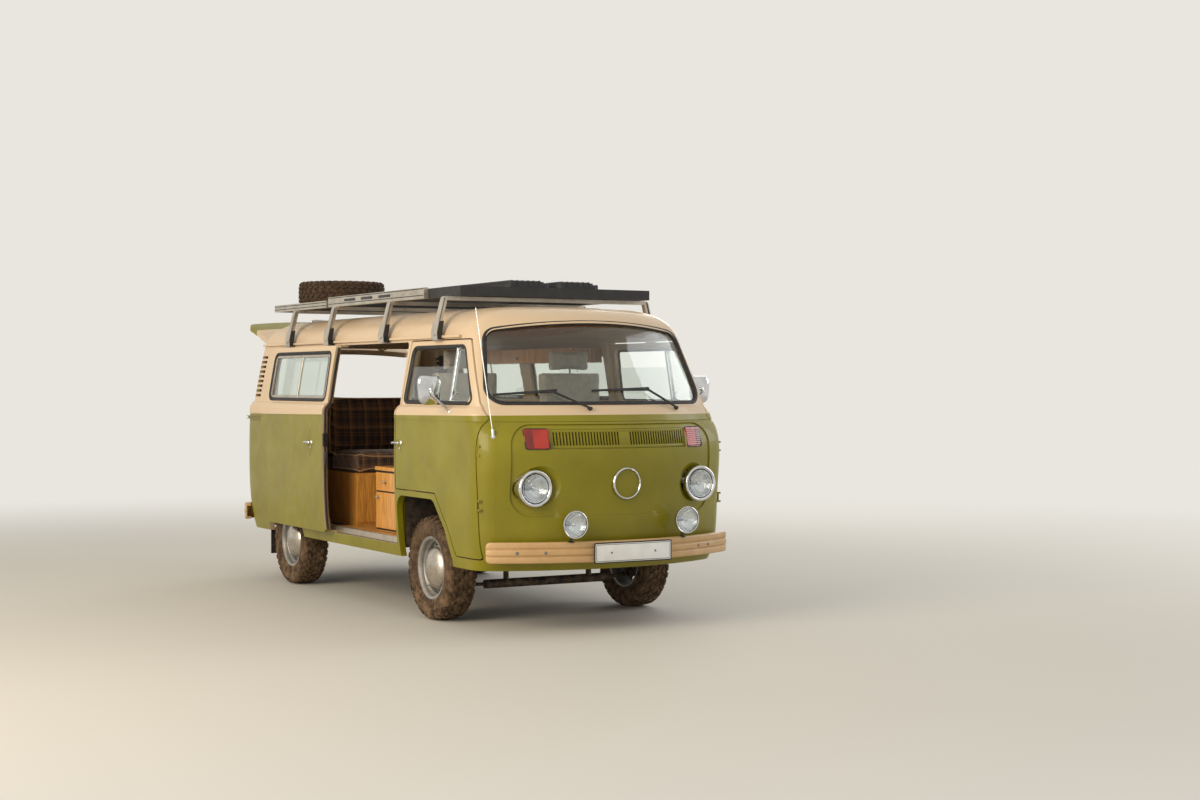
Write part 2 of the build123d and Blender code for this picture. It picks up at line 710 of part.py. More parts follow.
# Front doors with their glass
leaf, lug = (-30, -24), (30, -24)
nose_lugs = []
for side, name in SIDES:
    y_range = side_range(side)
    knuckles, lug_pockets = [], []
    for z in DOOR_HINGE_ZS:
        half = KNUCKLE_LENGTH / 2 + LUG_LENGTH + 1
        pin = (DOOR_FRONT_X, side * DOOR_HINGE_Y)
        lug_pockets.append(
            rod((*pin, z - half), (*pin, z + half), KNUCKLE_RADIUS + PIN_POCKET)
        )
        moving, fixed = hinge(
            (0, 0, 1), (DOOR_FRONT_X, side * DOOR_HINGE_Y, z),
            (leaf[0], side * leaf[1], 0), (lug[0], side * lug[1], 0),
        )
        knuckles.append(moving)
        nose_lugs.append(fixed)
    window = side_prism(FRONT_WINDOW, *y_range, WINDOW_CORNER)
    door = (shell & door_forms[name]) - [window] - lug_pockets
    put(f"front_door_{name}", door + knuckles)

    pane = side_prism(drawn_in(FRONT_WINDOW, SEAT_FIT), *y_range, WINDOW_CORNER)
    bar_rear = VENT_BAR_X - VENT_BAR_WIDTH / 2
    bar_front = VENT_BAR_X + VENT_BAR_WIDTH / 2
    glass = glass_layer & pane
    lowered = glass & block(0, bar_rear, *y_range, 0, LOWERED_TO_Z)
    vent = glass & block(bar_front, FAR, *y_range, 0, FAR)
    low_y, high_y = side_y(WINDOW_BOTTOM_Z) - 8, side_y(WINDOW_TOP_Z) - 8
    low_z, high_z = WINDOW_BOTTOM_Z + SEAT_FIT, WINDOW_TOP_Z - SEAT_FIT
    bar = front_prism(
        [(side * low_y, low_z), (side * high_y, high_z),
         (side * (high_y - 16), high_z), (side * (low_y - 16), low_z)],
        bar_rear + SEAT_FIT, bar_front - SEAT_FIT,
    )
    put(f"door_window_{name}", [lowered, vent, bar])

    low, high = BELT_BAND[1], BELT_BAND[2]
    slope = Vector(0, high.z - low.z, low.half_width - high.half_width).normalized()
    foot = Vector(0, (low.half_width + high.half_width) / 2, (low.z + high.z) / 2)

    def on_foot(lift):
        point = foot + slope * lift
        return (MIRROR_X, side * point.Y, point.Z)

    base = rod(on_foot(SEAT_FIT), on_foot(9), 16)
    arm = rod(on_foot(6), (MIRROR_X, side * MIRROR_Y, 1400), 7)
    plane = Plane(
        origin=(MIRROR_X - 6, side * MIRROR_Y, MIRROR_Z), x_dir=(0, 1, 0), z_dir=(1, 0, 0)
    )
    head = extrude(plane * RectangleRounded(158, 182, 60), amount=28)
    put(f"mirror_{name}", arm + base + head)

nose = framed & block(NOSE_SPLIT_X, FAR, -FAR, FAR, 0, GUTTER_Z)
put("nose_panel", nose + nose_lugs)

# Sides behind the front doors, with the posts between the doors
rail_y = side_y(SIDE_DOOR_RAIL_Z)
rail_z0 = SIDE_DOOR_RAIL_Z - SIDE_DOOR_RAIL_HEIGHT / 2
rail_z1 = SIDE_DOOR_RAIL_Z + SIDE_DOOR_RAIL_HEIGHT / 2
rail_x = (REAR_SPLIT_X + 60, SIDE_DOOR_REAR_X - 12)
rail = block(*rail_x, -rail_y - SIDE_DOOR_RAIL_DEPTH, -rail_y + 10, rail_z0, rail_z1)
rail -= block(
    *rail_x, -rail_y - SIDE_DOOR_RAIL_DEPTH, -rail_y - 5, rail_z0 + 5, rail_z1 - 5
)
for side, name in SIDES:
    y0, y1 = sorted((0, side * FAR))
    panel = framed & block(REAR_SPLIT_X, NOSE_SPLIT_X, y0, y1, 0, GUTTER_Z)
    heights = [FLOOR_TOP + 2, 560, 900, 1185, BELT_Z, 1325, GLASS_LINE_Z, GUTTER_Z - 8]
    outer = [(side * (side_y(z) - WALL + 6), z) for z in heights]
    inner = [(side * (side_y(z) - WALL - 30), z) for z in reversed(heights)]
    rear_x, front_x = SIDE_DOOR_FRONT_X - 22, DOOR_REAR_X + 34
    post = front_prism(outer + inner, rear_x, front_x)
    post -= block(ARCH_REAR_X - 22, FAR, -FAR, FAR, 0, PLINTH_TOP_Z + 4)
    post -= [door_forms[name], side_door_prism(-DOOR_GAP / 2)]
    panel = panel + post
    if side < 0:
        panel = panel + rail
    put(f"side_panel_{name}", panel)

# Roof with its gutter, tailgate and engine lid
gutter = extrude(outline(GUTTER_ROW, -GUTTER_OUT), amount=14) - [
    extrude(outline(GUTTER_ROW, 8), amount=14),
    Pos(0, 0, 5) * (extrude(outline(GUTTER_ROW, -GUTTER_OUT + 4), amount=14)
                    - extrude(outline(GUTTER_ROW, -1), amount=14)),
]
gutter = gutter & block(GUTTER_REAR_X, GUTTER_FRONT_X, -FAR, FAR, 0, FAR)
tail_lugs, gate_knuckles, lid_knuckles = [], [], []
for y in TAIL_HINGE_YS:
    moving, fixed = hinge(
        (0, 1, 0), (TAIL_HINGE_X, y, TAIL_HINGE_Z), (34, 0, -26),
        (34, 0, GUTTER_Z - TAIL_HINGE_Z),
    )
    gate_knuckles.append(moving)
    tail_lugs.append(fixed)
for y in LID_HINGE_YS:
    moving, fixed = hinge(
        (0, 1, 0), (LID_HINGE_X, y, LID_HINGE_Z), (34, 0, -26), (34, 0, 26)
    )
    lid_knuckles.append(moving)
    tail_lugs.append(fixed)
roof = framed & block(-FAR, FAR, -FAR, FAR, GUTTER_Z, FAR)
put("roof_panel", roof + [gutter])
tail = framed & block(-FAR, REAR_SPLIT_X, -FAR, FAR, 0, GUTTER_Z)
put("rear_panel", tail + tail_lugs)
rear_wall = shell & block(-FAR, REAR_SPLIT_X + 60, -FAR, FAR, 0, GUTTER_Z)
gate = (rear_wall & tailgate_prism(-TAILGATE_GAP / 2)) - front_prism(
    TAIL_WINDOW, -FAR, -1500, 60
)
gate_axis = Axis((TAIL_HINGE_X, 0, TAIL_HINGE_Z), (0, 1, 0))
put("tailgate", (gate + gate_knuckles).rotate(gate_axis, TAILGATE_OPEN))
gate_glass = glass_layer & front_prism(
    drawn_in(TAIL_WINDOW, SEAT_FIT), -FAR, -1500, 60
)
put("tailgate_window", gate_glass.rotate(gate_axis, TAILGATE_OPEN))
put("engine_lid", (rear_wall & lid_prism(-DOOR_GAP / 2)) + lid_knuckles)

# Fixed glass
put("windscreen", glass_layer & screen_prism(SEAT_FIT))
quarter_pane = drawn_in(QUARTER_WINDOW, SEAT_FIT)
middle_pane = drawn_in(MIDDLE_WINDOW, SEAT_FIT)
for side, _ in SIDES:
    pane = side_prism(quarter_pane, *side_range(side), WINDOW_CORNER)
    put("side_windows", glass_layer & pane)
put("side_windows", glass_layer & side_prism(middle_pane, *side_range(1), WINDOW_CORNER))

# Side door, pushed out and back along its rails, with its three arms
slid = Pos(-SIDE_DOOR_SLIDE, -SIDE_DOOR_OUT, 0)
side_door = (shell & side_door_prism(-DOOR_GAP / 2)) - side_prism(
    MIDDLE_WINDOW, *side_range(-1), WINDOW_CORNER
)
side_pane = glass_layer & side_prism(middle_pane, *side_range(-1), WINDOW_CORNER)
put("side_windows", slid * side_pane)
arm_x = SIDE_DOOR_REAR_X - SIDE_DOOR_SLIDE + 30
roller = block(
    arm_x, arm_x + 46, -rail_y - SIDE_DOOR_OUT + WALL - 10, -rail_y - 5 - SEAT_FIT,
    rail_z0 + 5 + SEAT_FIT, rail_z1 - 5 - SEAT_FIT,
)
arm_x = SIDE_DOOR_FRONT_X - SIDE_DOOR_SLIDE - 70
arms = [roller]
for z0, z1 in (
    (SIDE_DOOR_BOTTOM_Z + SEAT_FIT, SIDE_DOOR_BOTTOM_Z + 14),
    (SIDE_DOOR_TOP_Z - 14, SIDE_DOOR_TOP_Z - SEAT_FIT),
):
    y = side_y((z0 + z1) / 2)
    arms.append(block(
        arm_x, arm_x + 44, -y - SIDE_DOOR_OUT + WALL - 14, -y + WALL - 8, z0, z1
    ))
put("sliding_door", slid * side_door + arms)

# Floor, seat box, luggage deck and frame rails
fit = WALL + SEAT_FIT
low = FLOOR_TOP - FLOOR_THICK
pieces = [
    level_fill(low, FLOOR_TOP, low, fit)
    & block(BULKHEAD_X, ARCH_REAR_X - 20, -FAR, FAR, 0, FAR),
    level_fill(PLINTH_TOP_Z - SHEET, PLINTH_TOP_Z, PLINTH_TOP_Z - SHEET, fit)
    & block(ARCH_REAR_X - SHEET, PLINTH_FRONT_X, -FAR, FAR, 0, FAR),
    level_fill(FOOT_FLOOR_Z - 30, PLINTH_TOP_Z, FOOT_FLOOR_Z - 30, fit)
    & block(PLINTH_FRONT_X - SHEET, PLINTH_FRONT_X, -FAR, FAR, 0, FAR),
    level_fill(FOOT_FLOOR_Z - 30, FOOT_FLOOR_Z, FOOT_FLOOR_Z - 30, fit)
    & block(PLINTH_FRONT_X - SHEET, FAR, -FAR, FAR, 0, FAR),
    (level_fill(low, DECK_Z, low, fit)
     & block(BULKHEAD_X - SHEET, BULKHEAD_X, -FAR, FAR, 0, FAR))
    - [rear_arch(side) for side, _ in SIDES],
    level_fill(DECK_Z - SHEET, DECK_Z, DECK_Z, fit)
    & block(-FAR, BULKHEAD_X, -FAR, FAR, 0, FAR),
    level_fill(low, PLINTH_TOP_Z, low, WALL + 7)
    & block(ARCH_REAR_X - 22 + SEAT_FIT, ARCH_REAR_X - 4, -FAR, FAR, 0, FAR),
]
for side, _ in SIDES:
    y0, y1 = sorted((side * (WELL_INNER_Y - 10), side * WELL_INNER_Y))
    pieces.append(block(ARCH_REAR_X - 20, PLINTH_FRONT_X, y0, y1, low, PLINTH_TOP_Z))
    y0, y1 = sorted((side * 545, side * 555))
    pieces.append(block(-2000, BULKHEAD_X, y0, y1, 560, DECK_Z))
    y0, y1 = sorted((side * (RAIL_Y - RAIL_WIDTH / 2), side * (RAIL_Y + RAIL_WIDTH / 2)))
    pieces.append(block(-1850, 2050, y0, y1, SILL_Z, low))
    y0, y1 = side * SEAT_Y - 195, side * SEAT_Y + 195
    pieces.append(block(890, 1440, y0, y1, PLINTH_TOP_Z, PLINTH_TOP_Z + SEAT_FRAME))
for x in (-850, 100, 820, 1600, 1990):
    pieces.append(block(x, x + 50, -RAIL_Y, RAIL_Y, SILL_Z + 8, SILL_Z + 60))
saddle_z = TYRE_RADIUS + JOINT_RISE
saddle = rod(
    (AXLE_TUBE_X, -450, saddle_z), (AXLE_TUBE_X, 450, saddle_z),
    AXLE_TUBE_RADIUS + SEAT_FIT,
)
# The front doors' inner edges swing past the foot floor near their hinges
door_room = [block(1890, 2010, *y_range, 0, 560) for y_range in ((-FAR, -770), (770, FAR))]
put("floor_pan", (pieces[0] + pieces[1:]) - saddle - door_room)

# Bumpers with their brackets, and the spot lamps on the front one
ring = None
for bottom, top, out in BUMPER_RIBS:
    z = BUMPER_BOTTOM_Z + bottom
    layer = extrude(outline(BUMPER_ROW, -out, z), amount=top - bottom) - extrude(
        outline(BUMPER_ROW, BUMPER_THICK, z), amount=top - bottom
    )
    ring = layer if ring is None else ring + layer
bumper_z = (BUMPER_BOTTOM_Z + 30, BUMPER_BOTTOM_Z + 80)
front_brackets, rear_brackets = [], []
for side, _ in SIDES:
    y_range = sorted((side * 300, side * 345))
    front_brackets.append(block(
        skin_reach(1, y_range, bumper_z) + SEAT_FIT,
        BUMPER_ROW.front - BUMPER_THICK - 25, *y_range, *bumper_z,
    ))
    y_range = sorted((side * 360, side * 405))
    rear_brackets.append(block(
        BUMPER_ROW.tail + BUMPER_THICK + 10,
        skin_reach(-1, y_range, bumper_z) - SEAT_FIT, *y_range, *bumper_z,
    ))
front_bumper = ring & block(BUMPER_END_X, FAR, -FAR, FAR, 0, FAR)
rear_bumper = ring & block(-FAR, REAR_BUMPER_END_X, -FAR, FAR, 0, FAR)
put("front_bumper", front_bumper + front_brackets)
put("rear_bumper", rear_bumper + rear_brackets)
bumper_top = BUMPER_BOTTOM_Z + BUMPER_RIBS[-1][1]
for side, _ in SIDES:
    y = side * SPOT_Y
    spot = turned(
        [(0, -78), (30, -76), (62, -52), (SPOT_RADIUS, -18), (SPOT_RADIUS, -4),
         (SPOT_RADIUS - 6, 0), (40, 6), (0, 8)],
        (SPOT_FRONT_X, y, SPOT_Z), (1, 0, 0),
    )
    foot_z = bumper_top + SEAT_FIT
    stalk = rod((SPOT_STALK_X, y, foot_z), (SPOT_STALK_X, y, SPOT_Z), 10)
    foot = rod((SPOT_STALK_X, y, foot_z), (SPOT_STALK_X, y, foot_z + 8), 18)
    put("spot_lamps", spot + stalk + foot)


# Wheels, knuckles and axles

def tyre():
    half, bead = TYRE_WIDTH / 2, RIM_RADIUS + SEAT_FIT
    seat = -(RIM_WIDTH / 2 - FLANGE_THICK - SEAT_FIT)
    left = [
        (bead, seat), (RIM_RADIUS + FLANGE_HEIGHT + 2, seat),
        (RIM_RADIUS + 34, 11 - half), (250, -half), (290, 2 - half),
        (TYRE_RADIUS - 7, 12 - half), (TYRE_RADIUS, 24 - half),
    ]
    return turned(left + [(r, -y) for r, y in reversed(left)], (0, 0, 0), (0, 1, 0))


def rim():
    half, bore = RIM_WIDTH / 2, SPINDLE_RADIUS + SPINDLE_FIT
    flange, inner = RIM_RADIUS + FLANGE_HEIGHT, RIM_RADIUS - 6
    profile = [
        (bore, 34), (bore, -34), (DRUM_RADIUS - 6, -34), (DRUM_RADIUS, -28),
        (DRUM_RADIUS, 10), (150, 8), (inner, -4), (inner, 8 - half),
        (flange - 6, -half), (flange, -half), (flange, FLANGE_THICK - half),
        (RIM_RADIUS, FLANGE_THICK - half), (RIM_RADIUS, half - FLANGE_THICK),
        (flange, half - FLANGE_THICK), (flange, half), (flange - 6, half),
        (inner, half - 8), (inner, 10), (150, 22), (118, 30), (HUB_CAP_RADIUS, 34),
    ]
    rise = HUB_CAP_RISE
    cap = [
        (0, 34), (HUB_CAP_RADIUS, 34), (HUB_CAP_RADIUS, 34 + rise * 0.18),
        (92, 34 + rise * 0.47), (70, 34 + rise * 0.76), (44, 34 + rise * 0.94),
        (0, 34 + rise),
    ]
    return turned(profile, (0, 0, 0), (0, 1, 0)) + turned(cap, (0, 0, 0), (0, 1, 0))


def knuckle():
    """Left steering knuckle, with the wheel's centre at the origin."""
    pin = -KINGPIN_INSET
    return rod((0, pin - 22, 0), (0, 30, 0), SPINDLE_RADIUS) + [
        block(-26, 26, pin - 20, pin + 18, -86, 86),
        rod((0, -46, 0), (0, -40, 0), 112),
        rod((0, pin, -98.6), (0, pin, 98.6), 9),
        block(-120, 0, pin - 18, pin - 2, -40, -22),
    ]


one_tyre, one_rim, one_knuckle = tyre(), rim(), knuckle()
front_hub_y, rear_hub_y = FRONT_TRACK / 2, REAR_TRACK / 2
kingpin_y = front_hub_y - KINGPIN_INSET
for side, name in SIDES:
    kingpin = Axis((FRONT_AXLE_X, side * kingpin_y, 0), (0, 0, 1))
    front_hub = Pos(FRONT_AXLE_X, side * front_hub_y, TYRE_RADIUS)
    rear_hub = Pos(REAR_AXLE_X, side * rear_hub_y, TYRE_RADIUS)
    for piece, kind in ((one_tyre, "tyre"), (one_rim, "wheel")):
        shape = piece if side > 0 else mirrored(piece)
        put(f"{kind}_front_{name}", (front_hub * shape).rotate(kingpin, STEER_REST))
        put(f"{kind}_rear_{name}", rear_hub * shape)
    shape = one_knuckle if side > 0 else mirrored(one_knuckle)
    put(f"knuckle_{name}", (front_hub * shape).rotate(kingpin, STEER_REST))

axle = []
for rise in (-JOINT_RISE, JOINT_RISE):
    z = TYRE_RADIUS + rise
    axle.append(rod((AXLE_TUBE_X, -450, z), (AXLE_TUBE_X, 450, z), AXLE_TUBE_RADIUS))
    for side, _ in SIDES:
        ball = (FRONT_AXLE_X, side * kingpin_y, z)
        axle.append(rod((AXLE_TUBE_X, side * 440, z), ball, 11))
        axle.append(rod(
            (FRONT_AXLE_X, side * kingpin_y, z - 12),
            (FRONT_AXLE_X, side * kingpin_y, z + 12), 18,
        ))
for y in (-300, 300):
    axle.append(block(
        AXLE_TUBE_X - 22, AXLE_TUBE_X + 22, y - 8, y + 8,
        TYRE_RADIUS - JOINT_RISE, TYRE_RADIUS + JOINT_RISE,
    ))
put("front_axle", axle[0] + axle[1:])

hub_end = rear_hub_y + 30
rear_axle = rod(
    (REAR_AXLE_X, -hub_end, TYRE_RADIUS), (REAR_AXLE_X, hub_end, TYRE_RADIUS),
    SPINDLE_RADIUS,
)
swing = [
    block(REAR_AXLE_X - 120, BULKHEAD_X - 40, -120, 120, 250, 470),
    block(BULKHEAD_X - 60, BULKHEAD_X + 20, -150, 150, SILL_Z - 62, low - SEAT_FIT),
]
for side, _ in SIDES:
    y0, y1 = sorted((side * (rear_hub_y - 92), side * (rear_hub_y - 40)))
    swing.append(block(
        REAR_AXLE_X - 60, REAR_AXLE_X + 60, y0, y1, TYRE_RADIUS - 60, TYRE_RADIUS + 60
    ))
    swing.append(rod(
        (REAR_AXLE_X, side * (rear_hub_y - 66), TYRE_RADIUS),
        (BULKHEAD_X - 20, side * RAIL_Y, SILL_Z - 30), 24,
    ))
swing.append(rod(
    (BULKHEAD_X - 20, -RAIL_Y - 60, SILL_Z - 30), (BULKHEAD_X - 20, RAIL_Y + 60, SILL_Z - 30),
    30 - SEAT_FIT,
))
put("rear_axle", rear_axle + swing)
put("engine", block(-1960, REAR_AXLE_X - 120 - SEAT_FIT, -320, 320, 260, 760))

# Cab: dashboard, steering column and wheel, front seats
dash = level_fill(1130, 1315, 1315, WALL + SEAT_FIT) & block(1935, FAR, -FAR, FAR, 0, FAR)
door_room = [block(1900, 1960, *y_range, 0, FAR) for y_range in ((-FAR, -686), (686, FAR))]
put("dashboard", dash - rod((1930, -800, 1120), (1930, 800, 1120), 40) - door_room)


def along_column(distance):
    return tuple(STEERING_WHEEL_AT + STEERING_AXIS * distance)


wheel_plane = Plane(STEERING_WHEEL_AT, x_dir=(0, 1, 0), z_dir=STEERING_AXIS)
put("steering_wheel", wheel_plane * Torus(STEERING_WHEEL_RADIUS, STEERING_GRIP_RADIUS) + [
    wheel_plane * Box(2 * STEERING_WHEEL_RADIUS, 34, 9),
    rod(along_column(-200), along_column(14), SHAFT_RADIUS),
    rod(along_column(-22), along_column(18), 40),
])
shaft_bore = rod(along_column(-206), along_column(0), SHAFT_RADIUS + 0.6)
column = rod(along_column(-COLUMN_LENGTH), along_column(-40), COLUMN_RADIUS)
column = column + block(1765, 1936, 362, 378, 1162, 1178)
put("steering_column", column - [
    shaft_bore,
    block(0, FAR, -FAR, FAR, 0, FOOT_FLOOR_Z + SEAT_FIT),
    block(1935 - SEAT_FIT, FAR, -FAR, FAR, 900, FAR),
])

# Outlines in (x, height above the seat frame): cushion, back and headrest
SEAT_SHAPES = [
    ([(960, 0.5), (1480, 0.5), (1490, 116), (985, 105)], 0, 30),
    ([(888, 0.5), (959.5, 0.5), (984.5, 105), (930, 720), (835, 710)], 10, 22),
    ([(845, 711.7), (915, 719), (908, 860), (838, 855)], 90, 24),
]
seat_z = PLINTH_TOP_Z + SEAT_FRAME
for side, _ in SIDES:
    y0, y1 = side * SEAT_Y - SEAT_WIDTH / 2, side * SEAT_Y + SEAT_WIDTH / 2
    for points, narrow, radius in SEAT_SHAPES:
        raised = [(x, seat_z + z) for x, z in points]
        put("front_seats", side_prism(raised, y0 + narrow, y1 - narrow, radius))

# Camping furniture
BENCH_FRONT_X = -330.0
BENCH_TOP_Z = 845.0
bench_low, deck_low = BENCH_TOP_Z + 0.5, DECK_Z + 0.5
put("rear_cushions", [
    side_prism([(BULKHEAD_X + 10, bench_low), (BENCH_FRONT_X + 15, bench_low),
                (BENCH_FRONT_X + 15, 990), (BULKHEAD_X + 40, 978)], -640, 640, 35),
    side_prism([(BULKHEAD_X - 130, deck_low), (BULKHEAD_X + 8, deck_low),
                (BULKHEAD_X + 35, 1000), (BULKHEAD_X - 10, 1395),
                (BULKHEAD_X - 150, 1385)], -640, 640, 20),
    side_prism([(-1960, deck_low), (BULKHEAD_X - 140, deck_low),
                (BULKHEAD_X - 160, DECK_Z + 95), (-1960, DECK_Z + 95)], -600, 600, 30),
])
locker_y = side_y(1715) - WALL - SEAT_FIT
put("cabinets", [
    block(BULKHEAD_X + 1, BENCH_FRONT_X, -640, 640, FLOOR_TOP + SEAT_FIT, BENCH_TOP_Z),
    block(430, SIDE_DOOR_FRONT_X - 32, -600, -190, FLOOR_TOP + SEAT_FIT, 912),
    block(BULKHEAD_X + 20, SIDE_DOOR_FRONT_X - 72, 500, locker_y, 1615, 1715),
])

# Roof rack
foot_y = GUTTER_ROW.half_width + GUTTER_OUT
rail_bottom = RACK_BAR_Z + RACK_BAR_HEIGHT
alloy = []
for x in RACK_LEG_XS:
    clamp = block(x - 34, x + 34, foot_y + SEAT_FIT, foot_y + 20, GUTTER_Z - 16, GUTTER_Z + 34)
    hook = block(x - 34, x + 34, foot_y - 12, foot_y + 20, GUTTER_Z - 16, GUTTER_Z - SEAT_FIT)
    leg = front_prism(
        [(foot_y + 2, GUTTER_Z + 20), (foot_y + 18, GUTTER_Z + 20),
         (RACK_HALF_WIDTH + 14, rail_bottom), (RACK_HALF_WIDTH - 4, rail_bottom)],
        x - 18, x + 18)
    one = clamp + [hook, leg]
    alloy += [one, mirrored(one)]
    alloy.append(block(
        x - 20, x + 20, -RACK_HALF_WIDTH, RACK_HALF_WIDTH, RACK_BAR_Z, rail_bottom
    ))
rack_platform = []
for part in RACK_PARTS:
    for side, _ in SIDES:
        y0, y1 = sorted((side * (RACK_HALF_WIDTH - RACK_RAIL_WIDTH), side * RACK_HALF_WIDTH))
        alloy.append(block(
            part.rear, part.rail_front, y0, y1, rail_bottom, rail_bottom + part.rail_height
        ))
    half = RACK_HALF_WIDTH - RACK_RAIL_WIDTH - SEAT_FIT
    z0 = rail_bottom + SEAT_FIT
    z1 = z0 + part.deck_height
    deck = block(part.rear, part.front, -half, half, z0, z1)
    deck -= block(
        part.rear + RACK_BEAM, part.front - RACK_BEAM, -half + RACK_BEAM,
        half - RACK_BEAM, z0, z1,
    )
    clear = part.front - part.rear - 2 * RACK_BEAM
    count = int(clear // SLAT_PITCH)
    slats = [part.rear + RACK_BEAM + clear / count * i for i in range(1, count)]
    rack_platform.append(deck + [
        block(x - SLAT_WIDTH / 2, x + SLAT_WIDTH / 2, -half + 20, half - 20, z1 - 12, z1)
        for x in slats
    ])
bolt_z = rail_bottom + RACK_PARTS[1].rail_height / 2
bolts = [
    rod((x, -RACK_HALF_WIDTH - 1, bolt_z), (x, RACK_RAIL_WIDTH - RACK_HALF_WIDTH + 1, bolt_z),
        RACK_BOLT_RADIUS)
    for x in RACK_BOLT_XS
]
put("rack_frame", (alloy[0] + alloy[1:]) - bolts)
put("rack_platform", rack_platform)
rear_deck_z = rail_bottom + SEAT_FIT + RACK_PARTS[0].deck_height
flat = Pos(SPARE_X, SPARE_Y, rear_deck_z + SEAT_FIT + TYRE_WIDTH / 2) * Rot(90, 0, 0)
put("spare_tyre", flat * one_tyre)
put("spare_wheel", flat * one_rim)
board_z = rail_bottom + SEAT_FIT + RACK_PARTS[1].deck_height + SEAT_FIT
for y in BOARD_YS:
    x0, x1, y1 = BOARD_X[0], BOARD_X[1], y + BOARD_WIDTH
    plate = plan_prism(
        [(x0, y), (x1, y), (x1, y1), (x0, y1)], board_z, board_z + BOARD_THICK, 60)
    ridge = plan_prism(
        [(x0 + 30, y + 30), (x1 - 30, y + 30), (x1 - 30, y1 - 30), (x0 + 30, y1 - 30)],
        board_z + BOARD_THICK - 2, board_z + BOARD_THICK + 18, 40)
    put("traction_boards", plate + ridge)

# Wipers, aerial and mud flaps
def on_screen(place, lift):
    """Point over the windscreen at a (y, z) place, ahead of the body's skin."""
    y, z = place
    return (nose_x(y, z) + lift, y, z)


for wiper in WIPERS:
    y, z = wiper.pivot
    reach = skin_reach(1, [y], [z - WIPER_PIVOT_RADIUS]) + SEAT_FIT
    pivot = rod((reach, y, z), (reach + 24, y, z), WIPER_PIVOT_RADIUS)
    arm = rod((reach + 19, y, z), on_screen(wiper.arm_end, 8), 5)
    middle = tuple((a + b) / 2 for a, b in zip(wiper.blade_in, wiper.blade_out))
    path = ThreePointArc(
        on_screen(wiper.blade_in, -3), on_screen(middle, -3), on_screen(wiper.blade_out, -3)
    )
    blade = sweep(Plane(path @ 0, z_dir=path % 0) * Circle(7), path=path)
    put("wipers", pivot + arm + blade)
row = row_at(AERIAL_Z)
aerial_x, aerial_y = half_outline(row.front, row.bow, row.half_width, row.corner)[0]
aerial_foot = (aerial_x + 12, -aerial_y - 4, AERIAL_Z)
aerial_skin = (aerial_x - 6, -aerial_y + 3, AERIAL_Z)
put("aerial", rod(aerial_skin, aerial_foot, 12) + [
    rod(aerial_foot, (aerial_foot[0] - 6, aerial_foot[1], AERIAL_Z + 40), 9),
    rod(aerial_foot, AERIAL_TIP, 2.5),
] - shell)
for side, _ in SIDES:
    y0, y1 = sorted((side * (rear_hub_y - 90), side * (rear_hub_y + 86)))
    put("mud_flaps", block(MUD_FLAP_X, MUD_FLAP_X + 6, y0, y1, 190, SILL_Z - SEAT_FIT))

# Everything is moved so that the origin is under the middle of the van
everything = [solid for shapes in parts.values() for solid in shapes]
box = Compound(everything).bounding_box()
shift = (-(box.min.X + box.max.X) / 2, -(box.min.Y + box.max.Y) / 2, -box.min.Z)
print("parts", len(parts), "box", box.size, "moved by", shift)
os.makedirs("parts", exist_ok=True)
for name, shapes in parts.items():
    export_step(Compound([Pos(*shift) * shape for shape in shapes]), f"parts/{name}.step")
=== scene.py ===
"""Camper van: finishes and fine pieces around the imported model.

Lengths are millimetres in the van's own frame: X runs forward from half way
between the axles, Y to the van's left, Z up from the ground. They turn into
metres in the row frame when a piece is made.
"""
import json
import logging
import math
from dataclasses import dataclass
from enum import Enum
from itertools import product
from typing import Callable, Iterable, Optional, Sequence

import bmesh
import bpy
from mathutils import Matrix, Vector
from mathutils.bvhtree import BVHTree


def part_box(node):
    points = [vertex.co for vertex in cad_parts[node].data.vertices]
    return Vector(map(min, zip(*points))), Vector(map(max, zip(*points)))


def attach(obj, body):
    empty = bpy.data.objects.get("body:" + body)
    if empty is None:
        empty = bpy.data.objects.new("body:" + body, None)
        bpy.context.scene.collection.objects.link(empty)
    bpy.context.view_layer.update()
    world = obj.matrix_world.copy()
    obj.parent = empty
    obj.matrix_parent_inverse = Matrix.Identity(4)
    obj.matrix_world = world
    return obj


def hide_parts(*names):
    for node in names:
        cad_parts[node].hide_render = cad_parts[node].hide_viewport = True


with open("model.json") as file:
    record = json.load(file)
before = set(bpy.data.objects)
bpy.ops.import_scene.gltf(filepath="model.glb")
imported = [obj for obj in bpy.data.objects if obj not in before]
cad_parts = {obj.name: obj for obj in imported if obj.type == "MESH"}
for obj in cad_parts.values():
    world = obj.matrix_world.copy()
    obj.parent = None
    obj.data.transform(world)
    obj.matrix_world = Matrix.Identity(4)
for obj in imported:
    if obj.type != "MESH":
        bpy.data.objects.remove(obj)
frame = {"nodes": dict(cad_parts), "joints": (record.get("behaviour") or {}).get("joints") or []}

log = logging.getLogger("camper")
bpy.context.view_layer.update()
MM = 0.001
JOINTS = {joint["name"]: joint for joint in frame["joints"]}
SHIFT = JOINTS["spin_rear_left"]["pos_m"][0] / MM + 1200.0
SIDES = ((1, "left"), (-1, "right"))
AHEAD, LEFT, UP = (1, 0, 0), (0, 1, 0), (0, 0, 1)
REARWARD, RIGHT = (-1, 0, 0), (0, -1, 0)
# Short names of types. A Contact is a place and the surface's normal there.
Point = Sequence[float]
Pair = tuple[float, float]
Triple = tuple[float, float, float]
Flat = Sequence[Pair]
Outline = tuple[Pair, ...]
Contact = tuple[Vector, Vector]
Tree = bpy.types.NodeTree
Socket = bpy.types.NodeSocket
Thing = bpy.types.Object


